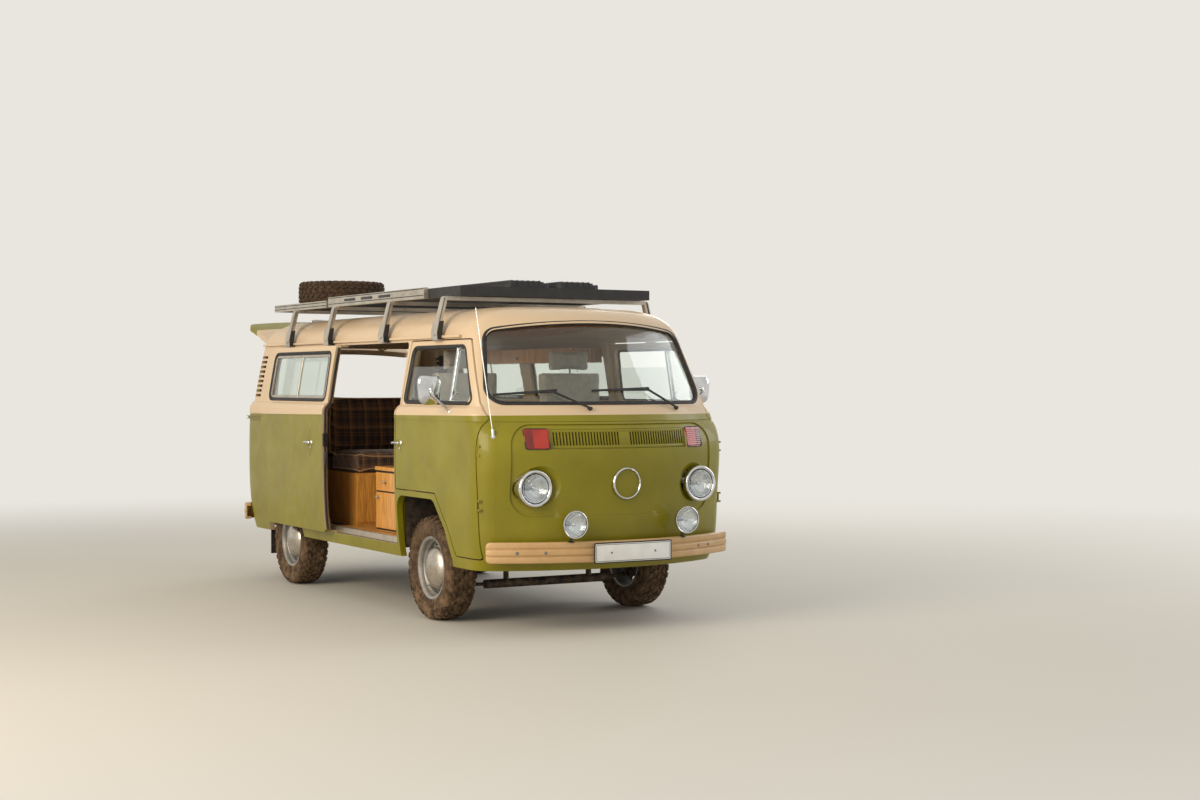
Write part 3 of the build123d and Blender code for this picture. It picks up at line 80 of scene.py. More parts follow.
class Body(Enum):
    """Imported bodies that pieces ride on."""

    ROOT = "root"
    DOOR_LEFT = "front_door_left"
    DOOR_RIGHT = "front_door_right"
    TAILGATE = "tailgate"
    LID = "engine_lid"
    STEERING = "steering_wheel"
    WHEEL_FRONT_LEFT = "wheel_front_left"
    WHEEL_FRONT_RIGHT = "wheel_front_right"
    WHEEL_REAR_LEFT = "wheel_rear_left"
    WHEEL_REAR_RIGHT = "wheel_rear_right"


class Slot(Enum):
    """Material slots of the record."""

    BOARD = "board_plastic"
    ALLOY = "cast_alloy"
    CHROME = "chrome"
    CLOTH = "fabric_beige"
    TARTAN = "fabric_plaid"
    GLASS = "glass_clear"
    LAMP = "glass_lamp"
    AMBER = "lens_amber"
    RED = "lens_red"
    GREEN = "paint_green"
    SAND = "paint_sand"
    TWO_TONE = "paint_two_tone"
    RACK = "rack_alloy"
    RACK_BLACK = "rack_black"
    RUBBER = "rubber_black"
    STEEL_BLACK = "steel_black"
    STEEL_SILVER = "steel_silver"
    TRIM = "trim_black"
    TYRE = "tyre_rubber"
    WOOD = "wood_oak"


DUST = "#A08260"

# Colour and node helpers

def linear(code: str) -> tuple[float, float, float, float]:
    """Turns an sRGB hex colour to linear.

    Args:
        code: The colour as "#RRGGBB".

    Returns:
        Linear red, green and blue, with alpha 1.
    """
    parts = [int(code[i:i + 2], 16) / 255 for i in (1, 3, 5)]
    red, green, blue = [
        p / 12.92 if p <= 0.04045 else ((p + 0.055) / 1.055) ** 2.4 for p in parts
    ]
    return red, green, blue, 1.0


def per(size: float) -> float:
    """Texture scale that repeats about every `size` millimetres."""
    return 1.0 / (size * MM)


def add_node(tree: Tree, kind: str, settings: Optional[dict] = None,
             links: Optional[dict] = None) -> bpy.types.Node:
    """Adds one node with its settings and links.

    Args:
        tree: Node tree that gets the node.
        kind: Blender's name of the node type, without its "ShaderNode".
        settings: Attributes by name, and input values by name or number.
        links: What feeds inputs, by name or number: a socket, or a node
            for its first output.

    Returns:
        The new node.
    """
    node = tree.nodes.new("ShaderNode" + kind)
    for key, value in (settings or {}).items():
        if isinstance(key, str) and hasattr(node, key):
            setattr(node, key, value)
    for key, value in (settings or {}).items():
        if not (isinstance(key, str) and hasattr(node, key)):
            node.inputs[key].default_value = value
    for key, source in (links or {}).items():
        tree.links.new(getattr(source, "outputs", [source])[0], node.inputs[key])
    return node


def cleared(owner: bpy.types.ID) -> Tree:
    """The empty node tree of a material or world."""
    owner.use_nodes = True
    owner.node_tree.nodes.clear()
    return owner.node_tree


def linked(name: str, data: bpy.types.ID) -> Thing:
    """A new object in the scene."""
    thing = bpy.data.objects.new(name, data)
    bpy.context.scene.collection.objects.link(thing)
    return thing


# Finishes

@dataclass(frozen=True)
class Finish:
    """One real surface: its colours, gloss, grain and dust.

    Patches drift from `colour` to `drift`. Grain is the spacing of the fine
    relief and relief is its height, both in millimetres.
    """

    name: str
    slot: Slot
    colour: str
    drift: str
    patch: float = 90.0
    rough: float = 0.4
    rough_drift: float = 0.1
    metal: float = 0.0
    ior: float = 1.5
    grain: float = 0.0
    relief: float = 0.0
    dust: float = 0.0
    coat: float = 0.0
    sheen: float = 0.0
    clear: float = 0.0

    def pigment(self, tree: Tree, place: Socket) -> Socket:
        """Colour before dust.

        Args:
            tree: The material's node tree.
            place: Object coordinates in metres.

        Returns:
            A colour socket.
        """
        noise = add_node(tree, "TexNoise",
                         {"Scale": per(self.patch), "Detail": 4.0}, {"Vector": place})
        share = add_node(tree, "MapRange", {1: 0.36, 2: 0.66}, {0: noise})
        mix = add_node(tree, "Mix",
                       {"data_type": "RGBA", 6: linear(self.colour), 7: linear(self.drift)},
                       {0: share})
        return mix.outputs[2]

    def height(self, tree: Tree, place: Socket) -> Socket:
        """Relief from 0 to 1."""
        return add_node(tree, "TexNoise",
                        {"Scale": per(self.grain), "Detail": 3.0},
                        {"Vector": place}).outputs[0]

    def dust_share(self, tree: Tree, place: Socket) -> Socket:
        """Share of road dust, most of it low down.

        Args:
            tree: The material's node tree.
            place: Object coordinates in metres.

        Returns:
            A value socket from 0 to the finish's dust.
        """
        level = add_node(tree, "SeparateXYZ", None, {0: place}).outputs[2]
        low = add_node(tree, "MapRange", {1: 0.15, 2: 1.0, 3: 1.0, 4: 0.15}, {0: level})
        speck = add_node(tree, "TexNoise",
                         {"Scale": per(55.0), "Detail": 7.0, "Roughness": 0.62},
                         {"Vector": place})
        patch = add_node(tree, "MapRange", {1: 0.4, 2: 0.72, 4: self.dust}, {0: speck})
        return add_node(tree, "Math", {"operation": "MULTIPLY"}, {0: low, 1: patch}).outputs[0]

    def material(self) -> bpy.types.Material:
        """The finish as a Blender material, made at its first use."""
        ready = bpy.data.materials.get(self.name)
        if ready:
            return ready
        material = bpy.data.materials.new(self.name)
        tree = cleared(material)
        place = add_node(tree, "TexCoord").outputs["Object"]
        colour = self.pigment(tree, place)
        shade = add_node(tree, "TexNoise",
                         {"Scale": per(self.patch * 0.4), "Detail": 3.0}, {"Vector": place})
        rough = add_node(tree, "MapRange",
                         {1: 0.35, 2: 0.65, 3: self.rough, 4: self.rough + self.rough_drift},
                         {0: shade}).outputs[0]
        if self.dust:
            share = self.dust_share(tree, place)
            colour = add_node(tree, "Mix",
                              {"data_type": "RGBA", 7: linear(DUST)},
                              {0: share, 6: colour}).outputs[2]
            rough = add_node(tree, "Mix", {"data_type": "FLOAT", 3: 0.9},
                             {0: share, 2: rough}).outputs[0]
        settings = {
            "Metallic": self.metal, "IOR": self.ior, "Coat Weight": self.coat,
            "Coat Roughness": 0.06, "Sheen Weight": self.sheen,
            "Transmission Weight": self.clear,
        }
        links = {"Base Color": colour, "Roughness": rough}
        if self.relief:
            links["Normal"] = add_node(
                tree, "Bump", {"Strength": 1.0, "Distance": self.relief * MM},
                {"Height": self.height(tree, place)}).outputs[0]
        shader = add_node(tree, "BsdfPrincipled", settings, links)
        add_node(tree, "OutputMaterial", None, {"Surface": shader})
        return material


@dataclass(frozen=True)
class TwoTone(Finish):
    """Enamel in two colours, split at the belt, with another colour inside.

    `level` is a point on the split and `above` the way to the upper colour.
    `facing` is the outward way of a flat panel. Without it a face is inside
    when it looks towards the middle of the van.
    """

    upper: str = "#D0B795"
    inside: str = "#B9A382"
    level: Triple = (0.0, 0.0, 1250.0)
    above: Triple = (0.0, 0.0, 1.0)
    facing: Optional[Triple] = None

    def pigment(self, tree: Tree, place: Socket) -> Socket:
        """Colour before dust: lower, upper or inside enamel.

        Args:
            tree: The material's node tree.
            place: Object coordinates in metres.

        Returns:
            A colour socket.
        """
        lower = super().pigment(tree, place)
        offset = add_node(tree, "VectorMath",
                          {"operation": "SUBTRACT", 1: tuple(at(*self.level))}, {0: place})
        rise = add_node(tree, "VectorMath",
                        {"operation": "DOT_PRODUCT", 1: self.above},
                        {0: offset})
        over = add_node(tree, "Math", {"operation": "GREATER_THAN", 1: 0.0},
                        {0: rise.outputs["Value"]})
        outside = add_node(tree, "Mix",
                           {"data_type": "RGBA", 7: linear(self.upper)},
                           {0: over, 6: lower})
        normal = add_node(tree, "TexCoord").outputs["Normal"]
        if self.facing:
            away = add_node(tree, "VectorMath",
                            {"operation": "DOT_PRODUCT", 1: self.facing}, {0: normal})
        else:
            middle = add_node(tree, "VectorMath",
                              {"operation": "SUBTRACT", 1: tuple(at(0, 0, 1100))},
                              {0: place})
            away = add_node(tree, "VectorMath", {"operation": "DOT_PRODUCT"},
                            {0: middle, 1: normal})
        inward = add_node(tree, "Math", {"operation": "LESS_THAN", 1: -0.02},
                          {0: away.outputs["Value"]})
        return add_node(tree, "Mix",
                        {"data_type": "RGBA", 7: linear(self.inside)},
                        {0: inward, 6: outside.outputs[2]}).outputs[2]


@dataclass(frozen=True)
class Oak(Finish):
    """Varnished plywood with long grain along one axis."""

    along: Triple = (9.0, 9.0, 0.6)

    def pigment(self, tree: Tree, place: Socket) -> Socket:
        """Grain lines, drawn 9 mm apart so that they show in the render.

        Args:
            tree: The material's node tree.
            place: Object coordinates in metres.

        Returns:
            A colour socket.
        """
        drawn = add_node(tree, "Mapping", {"Scale": self.along}, {0: place})
        grain = add_node(tree, "TexNoise",
                         {"Scale": per(90.0), "Detail": 6.0, "Distortion": 0.6},
                         {"Vector": drawn})
        share = add_node(tree, "MapRange", {1: 0.36, 2: 0.64}, {0: grain})
        return add_node(tree, "Mix",
                        {"data_type": "RGBA", 6: linear(self.colour), 7: linear(self.drift)},
                        {0: share}).outputs[2]


@dataclass(frozen=True)
class Tartan(Finish):
    """Woven check: two crossed sets of stripes over a twill.

    Each stripe is its start and end as shares of the repeat, and its depth.
    """

    repeat: float = 118.0
    thread: float = 3.0
    stripe: str = "#8F6642"
    stripes: tuple[Triple, ...] = (
        (0.0, 0.16, 0.85), (0.16, 0.34, 0.3), (0.62, 0.66, 0.75), (0.76, 0.8, 0.75),
    )

    def bands(self, tree: Tree, line: Socket) -> Socket:
        """Stripes across one direction.

        Args:
            tree: The material's node tree.
            line: Distance in metres across the stripes.

        Returns:
            A value socket.
        """
        count = add_node(tree, "Math", {"operation": "MULTIPLY", 1: per(self.repeat)},
                         {0: line})
        turn = add_node(tree, "Math", {"operation": "FRACT"}, {0: count})
        ramp = add_node(tree, "ValToRGB", None, {0: turn})
        ramp.color_ramp.interpolation = "CONSTANT"
        stops = [(0.0, 0.0)]
        for start, end, depth in self.stripes:
            stops = [s for s in stops if s[0] != start] + [(start, depth), (end, 0.0)]
        elements = ramp.color_ramp.elements
        while len(elements) > 1:
            elements.remove(elements[-1])
        for index, (stop, depth) in enumerate(stops):
            element = elements[0] if index == 0 else elements.new(stop)
            element.position = stop
            element.color = (depth, depth, depth, 1.0)
        return ramp.outputs[0]

    def pigment(self, tree: Tree, place: Socket) -> Socket:
        """Stripes across the bench and from its seat round to its back.

        Args:
            tree: The material's node tree.
            place: Object coordinates in metres.

        Returns:
            A colour socket.
        """
        axes = add_node(tree, "SeparateXYZ", None, {0: place})
        down = add_node(tree, "Math", {"operation": "ADD"}, {0: axes, 1: axes.outputs[2]})
        both = add_node(tree, "Math", {"operation": "ADD"},
                        {0: self.bands(tree, axes.outputs[1]),
                         1: self.bands(tree, down.outputs[0])})
        share = add_node(tree, "Math", {"operation": "MULTIPLY", 1: 0.5}, {0: both})
        return add_node(tree, "Mix",
                        {"data_type": "RGBA", 7: linear(self.stripe)},
                        {0: share, 6: super().pigment(tree, place)}).outputs[2]

    def height(self, tree: Tree, place: Socket) -> Socket:
        """Twill of diagonal threads."""
        return add_node(tree, "TexWave",
                        {"bands_direction": "DIAGONAL", "Scale": per(self.thread * 6),
                         "Distortion": 1.0}, {"Vector": place}).outputs[1]


# Cellulose enamel, sprayed and polished: deep gloss under a thin film of dust
ENAMEL = {"colour": "#7A7206", "drift": "#847C0B", "patch": 260.0, "rough": 0.34,
          "rough_drift": 0.12, "ior": 1.38, "grain": 7.0, "relief": 0.03, "coat": 0.2}
BODY_ENAMEL = TwoTone("body_enamel", Slot.TWO_TONE, **ENAMEL, dust=0.07,
                      level=(-1000.0, 0.0, 1252.0), above=(-0.0112, 0.0, 1.0))
# The raised tailgate carries its belt line with it, 493 mm from the hinge
GATE_TURN = math.radians(104.0)
GATE_DROP = 493.0
GATE_ENAMEL = TwoTone(
    "tailgate_enamel", Slot.TWO_TONE, **ENAMEL, inside="#CDB28A",
    level=(-2052 - GATE_DROP * math.sin(GATE_TURN), 0.0,
           1743 - GATE_DROP * math.cos(GATE_TURN)),
    above=(math.sin(GATE_TURN), 0.0, math.cos(GATE_TURN)),
    facing=(-math.cos(GATE_TURN), 0.0, math.sin(GATE_TURN)))
GREEN_ENAMEL = Finish("green_enamel", Slot.GREEN, **ENAMEL, dust=0.07)
# Bumper enamel, brushed and sun-bleached: softer gloss than the body
SAND_ENAMEL = Finish("sand_enamel", Slot.SAND, "#C9A471", "#BB9562", 180.0, 0.42, 0.15,
                     grain=5.0, relief=0.06, dust=0.35, coat=0.3)
# Chromium plate on polished steel: mirror bright with slight ripples
CHROME = Finish("chrome_plate", Slot.CHROME, "#DCDDDE", "#C9CBCE", 60.0, 0.05, 0.06, 1.0,
                grain=60.0, relief=0.15)
# The same plate on the hub caps, filmed with dried mud
DUSTY_CHROME = Finish("dusty_chrome", Slot.CHROME, "#CFCAC2", "#B9B2A6", 60.0, 0.16, 0.14,
                      1.0, grain=30.0, relief=0.1, dust=0.55)
# Float glass: flat, clear, faintly green
FLOAT_GLASS = Finish("float_glass", Slot.GLASS, "#F1F6F2", "#EDF4EF", 400.0, 0.0, 0.0,
                     ior=1.45, clear=1.0)
# Pressed lamp glass: thick and clear
LAMP_GLASS = Finish("lamp_glass", Slot.LAMP, "#F7FAFA", "#F2F6F6", 80.0, 0.02, 0.02,
                    ior=1.5, clear=1.0)
# Vacuum-silvered reflector
SILVERED = Finish("silvered_reflector", Slot.CHROME, "#E9EAEC", "#DADCE0", 40.0, 0.08, 0.05,
                  1.0)
# Moulded PMMA lenses, signal red and amber: glossy with depth
RED_PMMA = Finish("signal_red_pmma", Slot.RED, "#6A0703", "#7C0C06", 60.0, 0.1, 0.04,
                  ior=1.49, clear=0.1, coat=0.6)
AMBER_PMMA = Finish("signal_amber_pmma", Slot.AMBER, "#9C1303", "#B62806", 90.0, 0.1, 0.04,
                    ior=1.49, clear=0.1, coat=0.6)
# Carbon-black tyre rubber with dry mud in the tread
TYRE_RUBBER = Finish("muddy_tyre_rubber", Slot.TYRE, "#3A2D22", "#4B3A2B", 30.0, 0.88,
                     0.08, ior=1.35, grain=2.4, relief=0.3, dust=0.62)
# Rim steel in silver paint, dulled by the road
SILVER_STEEL = Finish("silver_painted_steel", Slot.STEEL_SILVER, "#A9A9A6", "#93928E", 45.0,
                      0.34, 0.16, 0.75, grain=3.0, relief=0.05, dust=0.35)
# Extruded aluminium, natural anodised: satin with drawn streaks
ALUMINIUM = Finish("anodised_aluminium", Slot.RACK, "#C9C1B4", "#B5AC9E", 120.0, 0.34, 0.12,
                   0.9, grain=1.6, relief=0.04, dust=0.15)
# Black powder coat: fine even pimples
POWDER_COAT = Finish("black_powder_coat", Slot.RACK_BLACK, "#1B1B1C", "#232324", 70.0, 0.46,
                     0.12, grain=2.2, relief=0.1, dust=0.1)
# Moulded nylon of the traction boards: dull with a scuffed skin
NYLON = Finish("moulded_nylon", Slot.BOARD, "#1F2022", "#2D2E30", 35.0, 0.55, 0.15,
               grain=2.0, relief=0.15)
# Sand-cast alloy, grey and oily
CAST_ALLOY = Finish("sand_cast_alloy", Slot.ALLOY, "#6E6B66", "#59564F", 40.0, 0.55, 0.15, 0.6,
                    grain=2.5, relief=0.3, dust=0.5)
# Padded vinyl with a leather grain
BLACK_VINYL = Finish("grained_vinyl", Slot.TRIM, "#1D1C1B", "#262524", 60.0, 0.5, 0.12,
                     grain=2.6, relief=0.2)
# The same vinyl in tan on the door cards, lit like leather
CARD_VINYL = Finish("door_card_vinyl", Slot.TRIM, "#8A7152", "#7C6447", 80.0, 0.55, 0.12,
                    grain=2.6, relief=0.2)
# Moulded ABS: a fine even texture with a low gloss. Also the black of the sheets that paint shade
# behind the grille, louvres and kitchen fronts and in the rack's grooves
BLACK_ABS_AND_SHADE = Finish("moulded_abs_and_painted_shade", Slot.TRIM, "#171717", "#1F1F1F", 60.0, 0.42, 0.12,
                   grain=1.8, relief=0.06)
# Extruded EPDM rubber of seals and flaps
EPDM = Finish("epdm_rubber", Slot.RUBBER, "#141414", "#1E1D1C", 45.0, 0.5, 0.2,
              grain=3.0, relief=0.08, dust=0.12)
# Chassis black over steel, dusty from below
CHASSIS_BLACK = Finish("chassis_black", Slot.STEEL_BLACK, "#1C1B1A", "#2A2724", 60.0, 0.55,
                       0.2, grain=4.0, relief=0.2, dust=0.6)
# Woven wool and nylon cloth, light grey
SEAT_CLOTH = Finish("woven_seat_cloth", Slot.CLOTH, "#C9C2B6", "#B9B1A4", 40.0, 0.85, 0.1,
                    grain=2.6, relief=0.5, sheen=0.25)
# Twisted tan cord that edges the cushions
PIPING = Finish("piping_cord", Slot.CLOTH, "#B98F62", "#A67D52", 30.0, 0.7, 0.1,
                grain=2.0, relief=0.3, sheen=0.2)
# Woven wool check of the bench: dull and dark with brown stripes
BENCH_TARTAN = Tartan("bench_tartan", Slot.TARTAN, "#21160F", "#2B1C14", 30.0, 0.88, 0.08,
                      grain=3.0, relief=0.4, sheen=0.2)
# Varnished oak plywood, grain standing, and planks lying along the van
OAK = Oak("varnished_oak", Slot.WOOD, "#DDA04C", "#B57A32", 90.0, 0.32, 0.12,
          grain=3.0, relief=0.08, coat=0.3)
OAK_PLANK = Oak("oak_plank", Slot.WOOD, "#C48B45", "#9F6A2F", 90.0, 0.38, 0.12,
                grain=3.0, relief=0.08, coat=0.2, along=(0.6, 9.0, 9.0))
# Retro-reflective plate sheet, left blank
PLATE_WHITE = Finish("plate_sheet", Slot.STEEL_SILVER, "#E4E4E0", "#DADAD5", 90.0, 0.35, 0.1,
                     grain=2.0, relief=0.02)
# Zinc-plated bolt heads, gone grey
STEEL_BOLT = Finish("zinc_bolt", Slot.STEEL_SILVER, "#8F8C86", "#6F6B65", 12.0, 0.4, 0.2, 0.9)
# Mild steel of the exhaust, brown with heat and rust
RUSTY_STEEL = Finish("rusty_steel", Slot.STEEL_BLACK, "#4A3A2E", "#6B4A33", 30.0, 0.7, 0.2,
                     0.3, grain=3.0, relief=0.3, dust=0.4)


def dress(finish: Finish, *nodes: str) -> None:
    """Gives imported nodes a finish.

    Args:
        finish: What they are made of.
        nodes: Their names.
    """
    for name in nodes:
        thing = frame["nodes"][name]
        if not thing.material_slots:
            thing.data.materials.append(None)
        for place in thing.material_slots:
            place.link = "OBJECT"
            place.material = finish.material()
    log.info("%s on %s", finish.name, ", ".join(nodes))


# Geometry helpers

def at(x: float, y: float, z: float) -> Vector:
    """A place in the row frame, in metres."""
    return Vector(((x + SHIFT) * MM, y * MM, z * MM))


def back(place: Vector) -> Vector:
    """A row-frame place in the van's millimetres."""
    return Vector((place.x / MM - SHIFT, place.y / MM, place.z / MM))


def rounded(points: Flat, radius: float, steps: int = 5) -> list[Pair]:
    """Rounds the corners of a flat outline.

    Args:
        points: The outline's corners.
        radius: Length that is cut off each side of a corner, at most.
        steps: Pieces of each corner's curve.

    Returns:
        The rounded outline.
    """
    result = []
    for index, point in enumerate(points):
        corner = Vector(point)
        before = Vector(points[index - 1]) - corner
        after = Vector(points[(index + 1) % len(points)]) - corner
        reach = min(radius, before.length * 0.49, after.length * 0.49)
        start = corner + before.normalized() * reach
        end = corner + after.normalized() * reach
        for step in range(steps + 1):
            share = step / steps
            near = start.lerp(corner, share).lerp(corner.lerp(end, share), share)
            result.append((near.x, near.y))
    return result


def corners(x0: float, x1: float, y0: float, y1: float) -> list[Pair]:
    """The corners of a rectangle, anticlockwise from its lowest."""
    return [(x0, y0), (x1, y0), (x1, y1), (x0, y1)]


def oblong(half: float, rise: float, corner: float) -> list[Pair]:
    """A rectangle round zero with rounded corners."""
    return rounded(corners(-half, half, -rise, rise), corner)


class Shape:
    """Points and faces of one piece, in the van's millimetres."""

    def __init__(self) -> None:
        """Starts empty."""
        self.points: list[Vector] = []
        self.faces: list[tuple[int, ...]] = []

    def grid(self, rows: Sequence[Sequence[Vector]], around: bool = True,
             loop: bool = False, ends: bool = False) -> "Shape":
        """Joins rows of points with quads.

        Args:
            rows: Rows with the same number of points.
            around: Whether each row closes on itself.
            loop: Whether the last row joins the first.
            ends: Whether the first and last rows get a face.

        Returns:
            The shape itself.
        """
        base, wide = len(self.points), len(rows[0])
        for row in rows:
            self.points.extend(Vector(p) for p in row)
        for i in range(len(rows) if loop else len(rows) - 1):
            first, second = base + i * wide, base + (i + 1) % len(rows) * wide
            for j in range(wide if around else wide - 1):
                k = (j + 1) % wide
                self.faces.append((first + j, first + k, second + k, second + j))
        if ends:
            self.faces.append(tuple(range(base + wide - 1, base - 1, -1)))
            last = base + (len(rows) - 1) * wide
            self.faces.append(tuple(range(last, last + wide)))
        return self

    def lathe(self, profile: Flat, place: Point, axis: Point, steps: int = 48,
              loop: bool = False) -> "Shape":
        """Turns a profile of (radius, along) points about an axis.

        Args:
            profile: The profile, from one end to the other.
            place: Where along is zero.
            axis: The axis.
            steps: Sides of the turned shape.
            loop: Whether the profile closes on itself.

        Returns:
            The shape itself.
        """
        way = Vector(axis).normalized()
        across = way.orthogonal().normalized()
        other, centre = way.cross(across), Vector(place)
        rows = []
        for radius, along in profile:
            row = []
            for step in range(steps):
                angle = math.tau * step / steps
                spoke = across * math.cos(angle) + other * math.sin(angle)
                row.append(centre + way * along + spoke * max(radius, 0.0))
            rows.append(row)
        return self.grid(rows, loop=loop, ends=not loop)

    def slab(self, outline: Flat, place: Point, u: Point, v: Point, thick: float,
             bevel: float = 1.5) -> "Shape":
        """A flat plate with eased front edges.

        Args:
            outline: Its (u, v) outline.
            place: Where the outline's zero lies.
            u: Direction of the outline's first number.
            v: Direction of its second number.
            thick: How far it stands along u x v.
            bevel: Width of the eased edge.

        Returns:
            The shape itself.
        """
        du, dv = Vector(u).normalized(), Vector(v).normalized()
        out, origin = du.cross(dv), Vector(place)
        middle = sum((Vector(p) for p in outline), Vector((0, 0))) / len(outline)

        def row(inset: float, rise: float) -> list[Vector]:
            """The outline, drawn in by `inset` and raised by `rise`."""
            places = []
            for point in outline:
                arm = Vector(point) - middle
                arm = arm * max(0.0, 1 - inset / max(arm.length, inset + 0.1))
                flat = middle + arm
                places.append(origin + du * flat.x + dv * flat.y + out * rise)
            return places

        rows = [row(0, 0), row(0, thick - bevel), row(bevel * 0.3, thick - bevel * 0.3),
                row(bevel, thick)]
        return self.grid(rows, ends=True)

    def sweep(self, path: Sequence[Contact], section: Flat,
              closed: bool = True) -> "Shape":
        """Drags a section of (outward, up) points along a path.

        Args:
            path: Places with the surface's normal there.
            section: The section's closed outline.
            closed: Whether the path closes on itself.

        Returns:
            The shape itself.
        """
        count = len(path)
        centre = sum((p for p, _ in path), Vector()) / count
        sides, pull = [], 0.0
        for index, (place, normal) in enumerate(path):
            ahead = path[(index + 1) % count if closed else min(index + 1, count - 1)][0]
            behind = path[index - 1 if closed else max(index - 1, 0)][0]
            side = (ahead - behind).cross(normal).normalized()
            pull += side.dot(place - centre)
            sides.append(side)
        sign = 1.0 if pull >= 0 else -1.0
        rows = [
            [place + side * (sign * s) + normal * h for s, h in section]
            for (place, normal), side in zip(path, sides)
        ]
        return self.grid(rows, loop=closed, ends=not closed)

    def tube(self, path: Sequence[Point], radius: float, sides: int = 12,
             closed: bool = False, steps: int = 0) -> "Shape":
        """A round tube along a path.

        Args:
            path: Its corner points.
            radius: Its radius.
            sides: Sides of its section.
            closed: Whether it closes on itself.
            steps: Points added between corners along a smooth curve.

        Returns:
            The shape itself.
        """
        places = [Vector(p) for p in path]
        if steps:
            places = smooth_line(places, steps, closed)
        count = len(places)
        upright, pairs = None, []
        for index, place in enumerate(places):
            ahead = places[(index + 1) % count if closed else min(index + 1, count - 1)]
            behind = places[index - 1 if closed else max(index - 1, 0)]
            way = (ahead - behind).normalized()
            if upright is None:
                upright = way.orthogonal()
            upright = (upright - way * upright.dot(way)).normalized()
            pairs.append((place, upright.copy()))
        ring = [
            (radius * math.cos(math.tau * i / sides), radius * math.sin(math.tau * i / sides))
            for i in range(sides)
        ]
        return self.sweep(pairs, ring, closed)

    def cover(self, skin: "Skin", start: Point, across: Point, up: Point,
              steps: tuple[int, int], way: Point, rise: Callable[[float, float], float],
              sink: float = 3.0) -> "Shape":
        """A plate that follows a skin.

        Args:
            skin: The surface it lies on.
            start: Where the ray to its first corner starts.
            across: From there to its second corner.
            up: From there to its last corner.
            steps: Number of faces across and up.
            way: Direction of the rays.
            rise: Its height above the skin at shares across and up.
            sink: How far its back lies under the skin.

        Returns:
            The shape itself.
        """
        origin, du, dv = Vector(start), Vector(across), Vector(up)
        middle = origin + du / 2 + dv / 2
        rows = []
        for j in range(steps[1] + 1):
            front, rear = [], []
            for i in range(steps[0] + 1):
                u, v = i / steps[0], j / steps[1]
                hit, normal = skin.near(origin + du * u + dv * v, way, middle)
                front.append(hit + normal * rise(u, v))
                rear.append(hit - normal * sink)
            rows.append(front + rear[::-1])
        return self.grid(rows, ends=True)

    def bolt(self, place: Point, normal: Point, radius: float = 6.0, rise: float = 4.0,
             sides: int = 16) -> "Shape":
        """A domed or, with six sides, a hexagonal fastener head."""
        return self.lathe(
            [(radius * 1.25, -1.0), (radius * 1.25, 0.8), (radius, 1.0), (radius, rise * 0.6),
             (radius * 0.75, rise * 0.92), (0, rise)], place, normal, sides)


def smooth_line(places: Sequence[Vector], steps: int, closed: bool) -> list[Vector]:
    """Points on a smooth curve through places.

    Args:
        places: Points that the curve passes.
        steps: Points for each span.
        closed: Whether the curve closes on itself.

    Returns:
        The curve's points.
    """
    count, result = len(places), []
    for index in range(count if closed else count - 1):
        group = []
        for near in (-1, 0, 1, 2):
            spot = index + near
            group.append(places[spot % count if closed else min(max(spot, 0), count - 1)])
        a, b, c, d = group
        for step in range(steps):
            t = step / steps
            result.append(0.5 * ((2 * b) + (c - a) * t + (2 * a - 5 * b + 4 * c - d) * t * t
                                 + (3 * b - a - 3 * c + d) * t ** 3))
    if not closed:
        result.append(places[-1])
    return result


def piece(name: str, shape: Shape, finish: Finish, crease: float = 32.0,
          stands_for: Sequence[str] = (), body: Body = Body.ROOT) -> Thing:
    """Makes an object of a shape and rides it on a body.

    Args:
        name: The object's name.
        shape: Its points and faces.
        finish: What it is made of.
        crease: Angle in degrees above which an edge stays sharp.
        stands_for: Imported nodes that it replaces.
        body: What it rides on.

    Returns:
        The new object.
    """
    mesh = bpy.data.meshes.new(name)
    mesh.from_pydata([tuple(at(*p)) for p in shape.points], [], shape.faces)
    work = bmesh.new()
    work.from_mesh(mesh)
    bmesh.ops.remove_doubles(work, verts=work.verts, dist=2e-6)
    bmesh.ops.dissolve_degenerate(work, edges=work.edges, dist=1e-6)
    bmesh.ops.recalc_face_normals(work, faces=work.faces)
    work.to_mesh(mesh)
    work.free()
    mesh.shade_smooth()
    mesh.set_sharp_from_angle(angle=math.radians(crease))
    thing = linked(name, mesh)
    mesh.materials.append(finish.material())
    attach(thing, body.value)
    if stands_for:
        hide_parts(*stands_for)
    log.info("%s: %d faces on %s", name, len(mesh.polygons), body.value)
    return thing


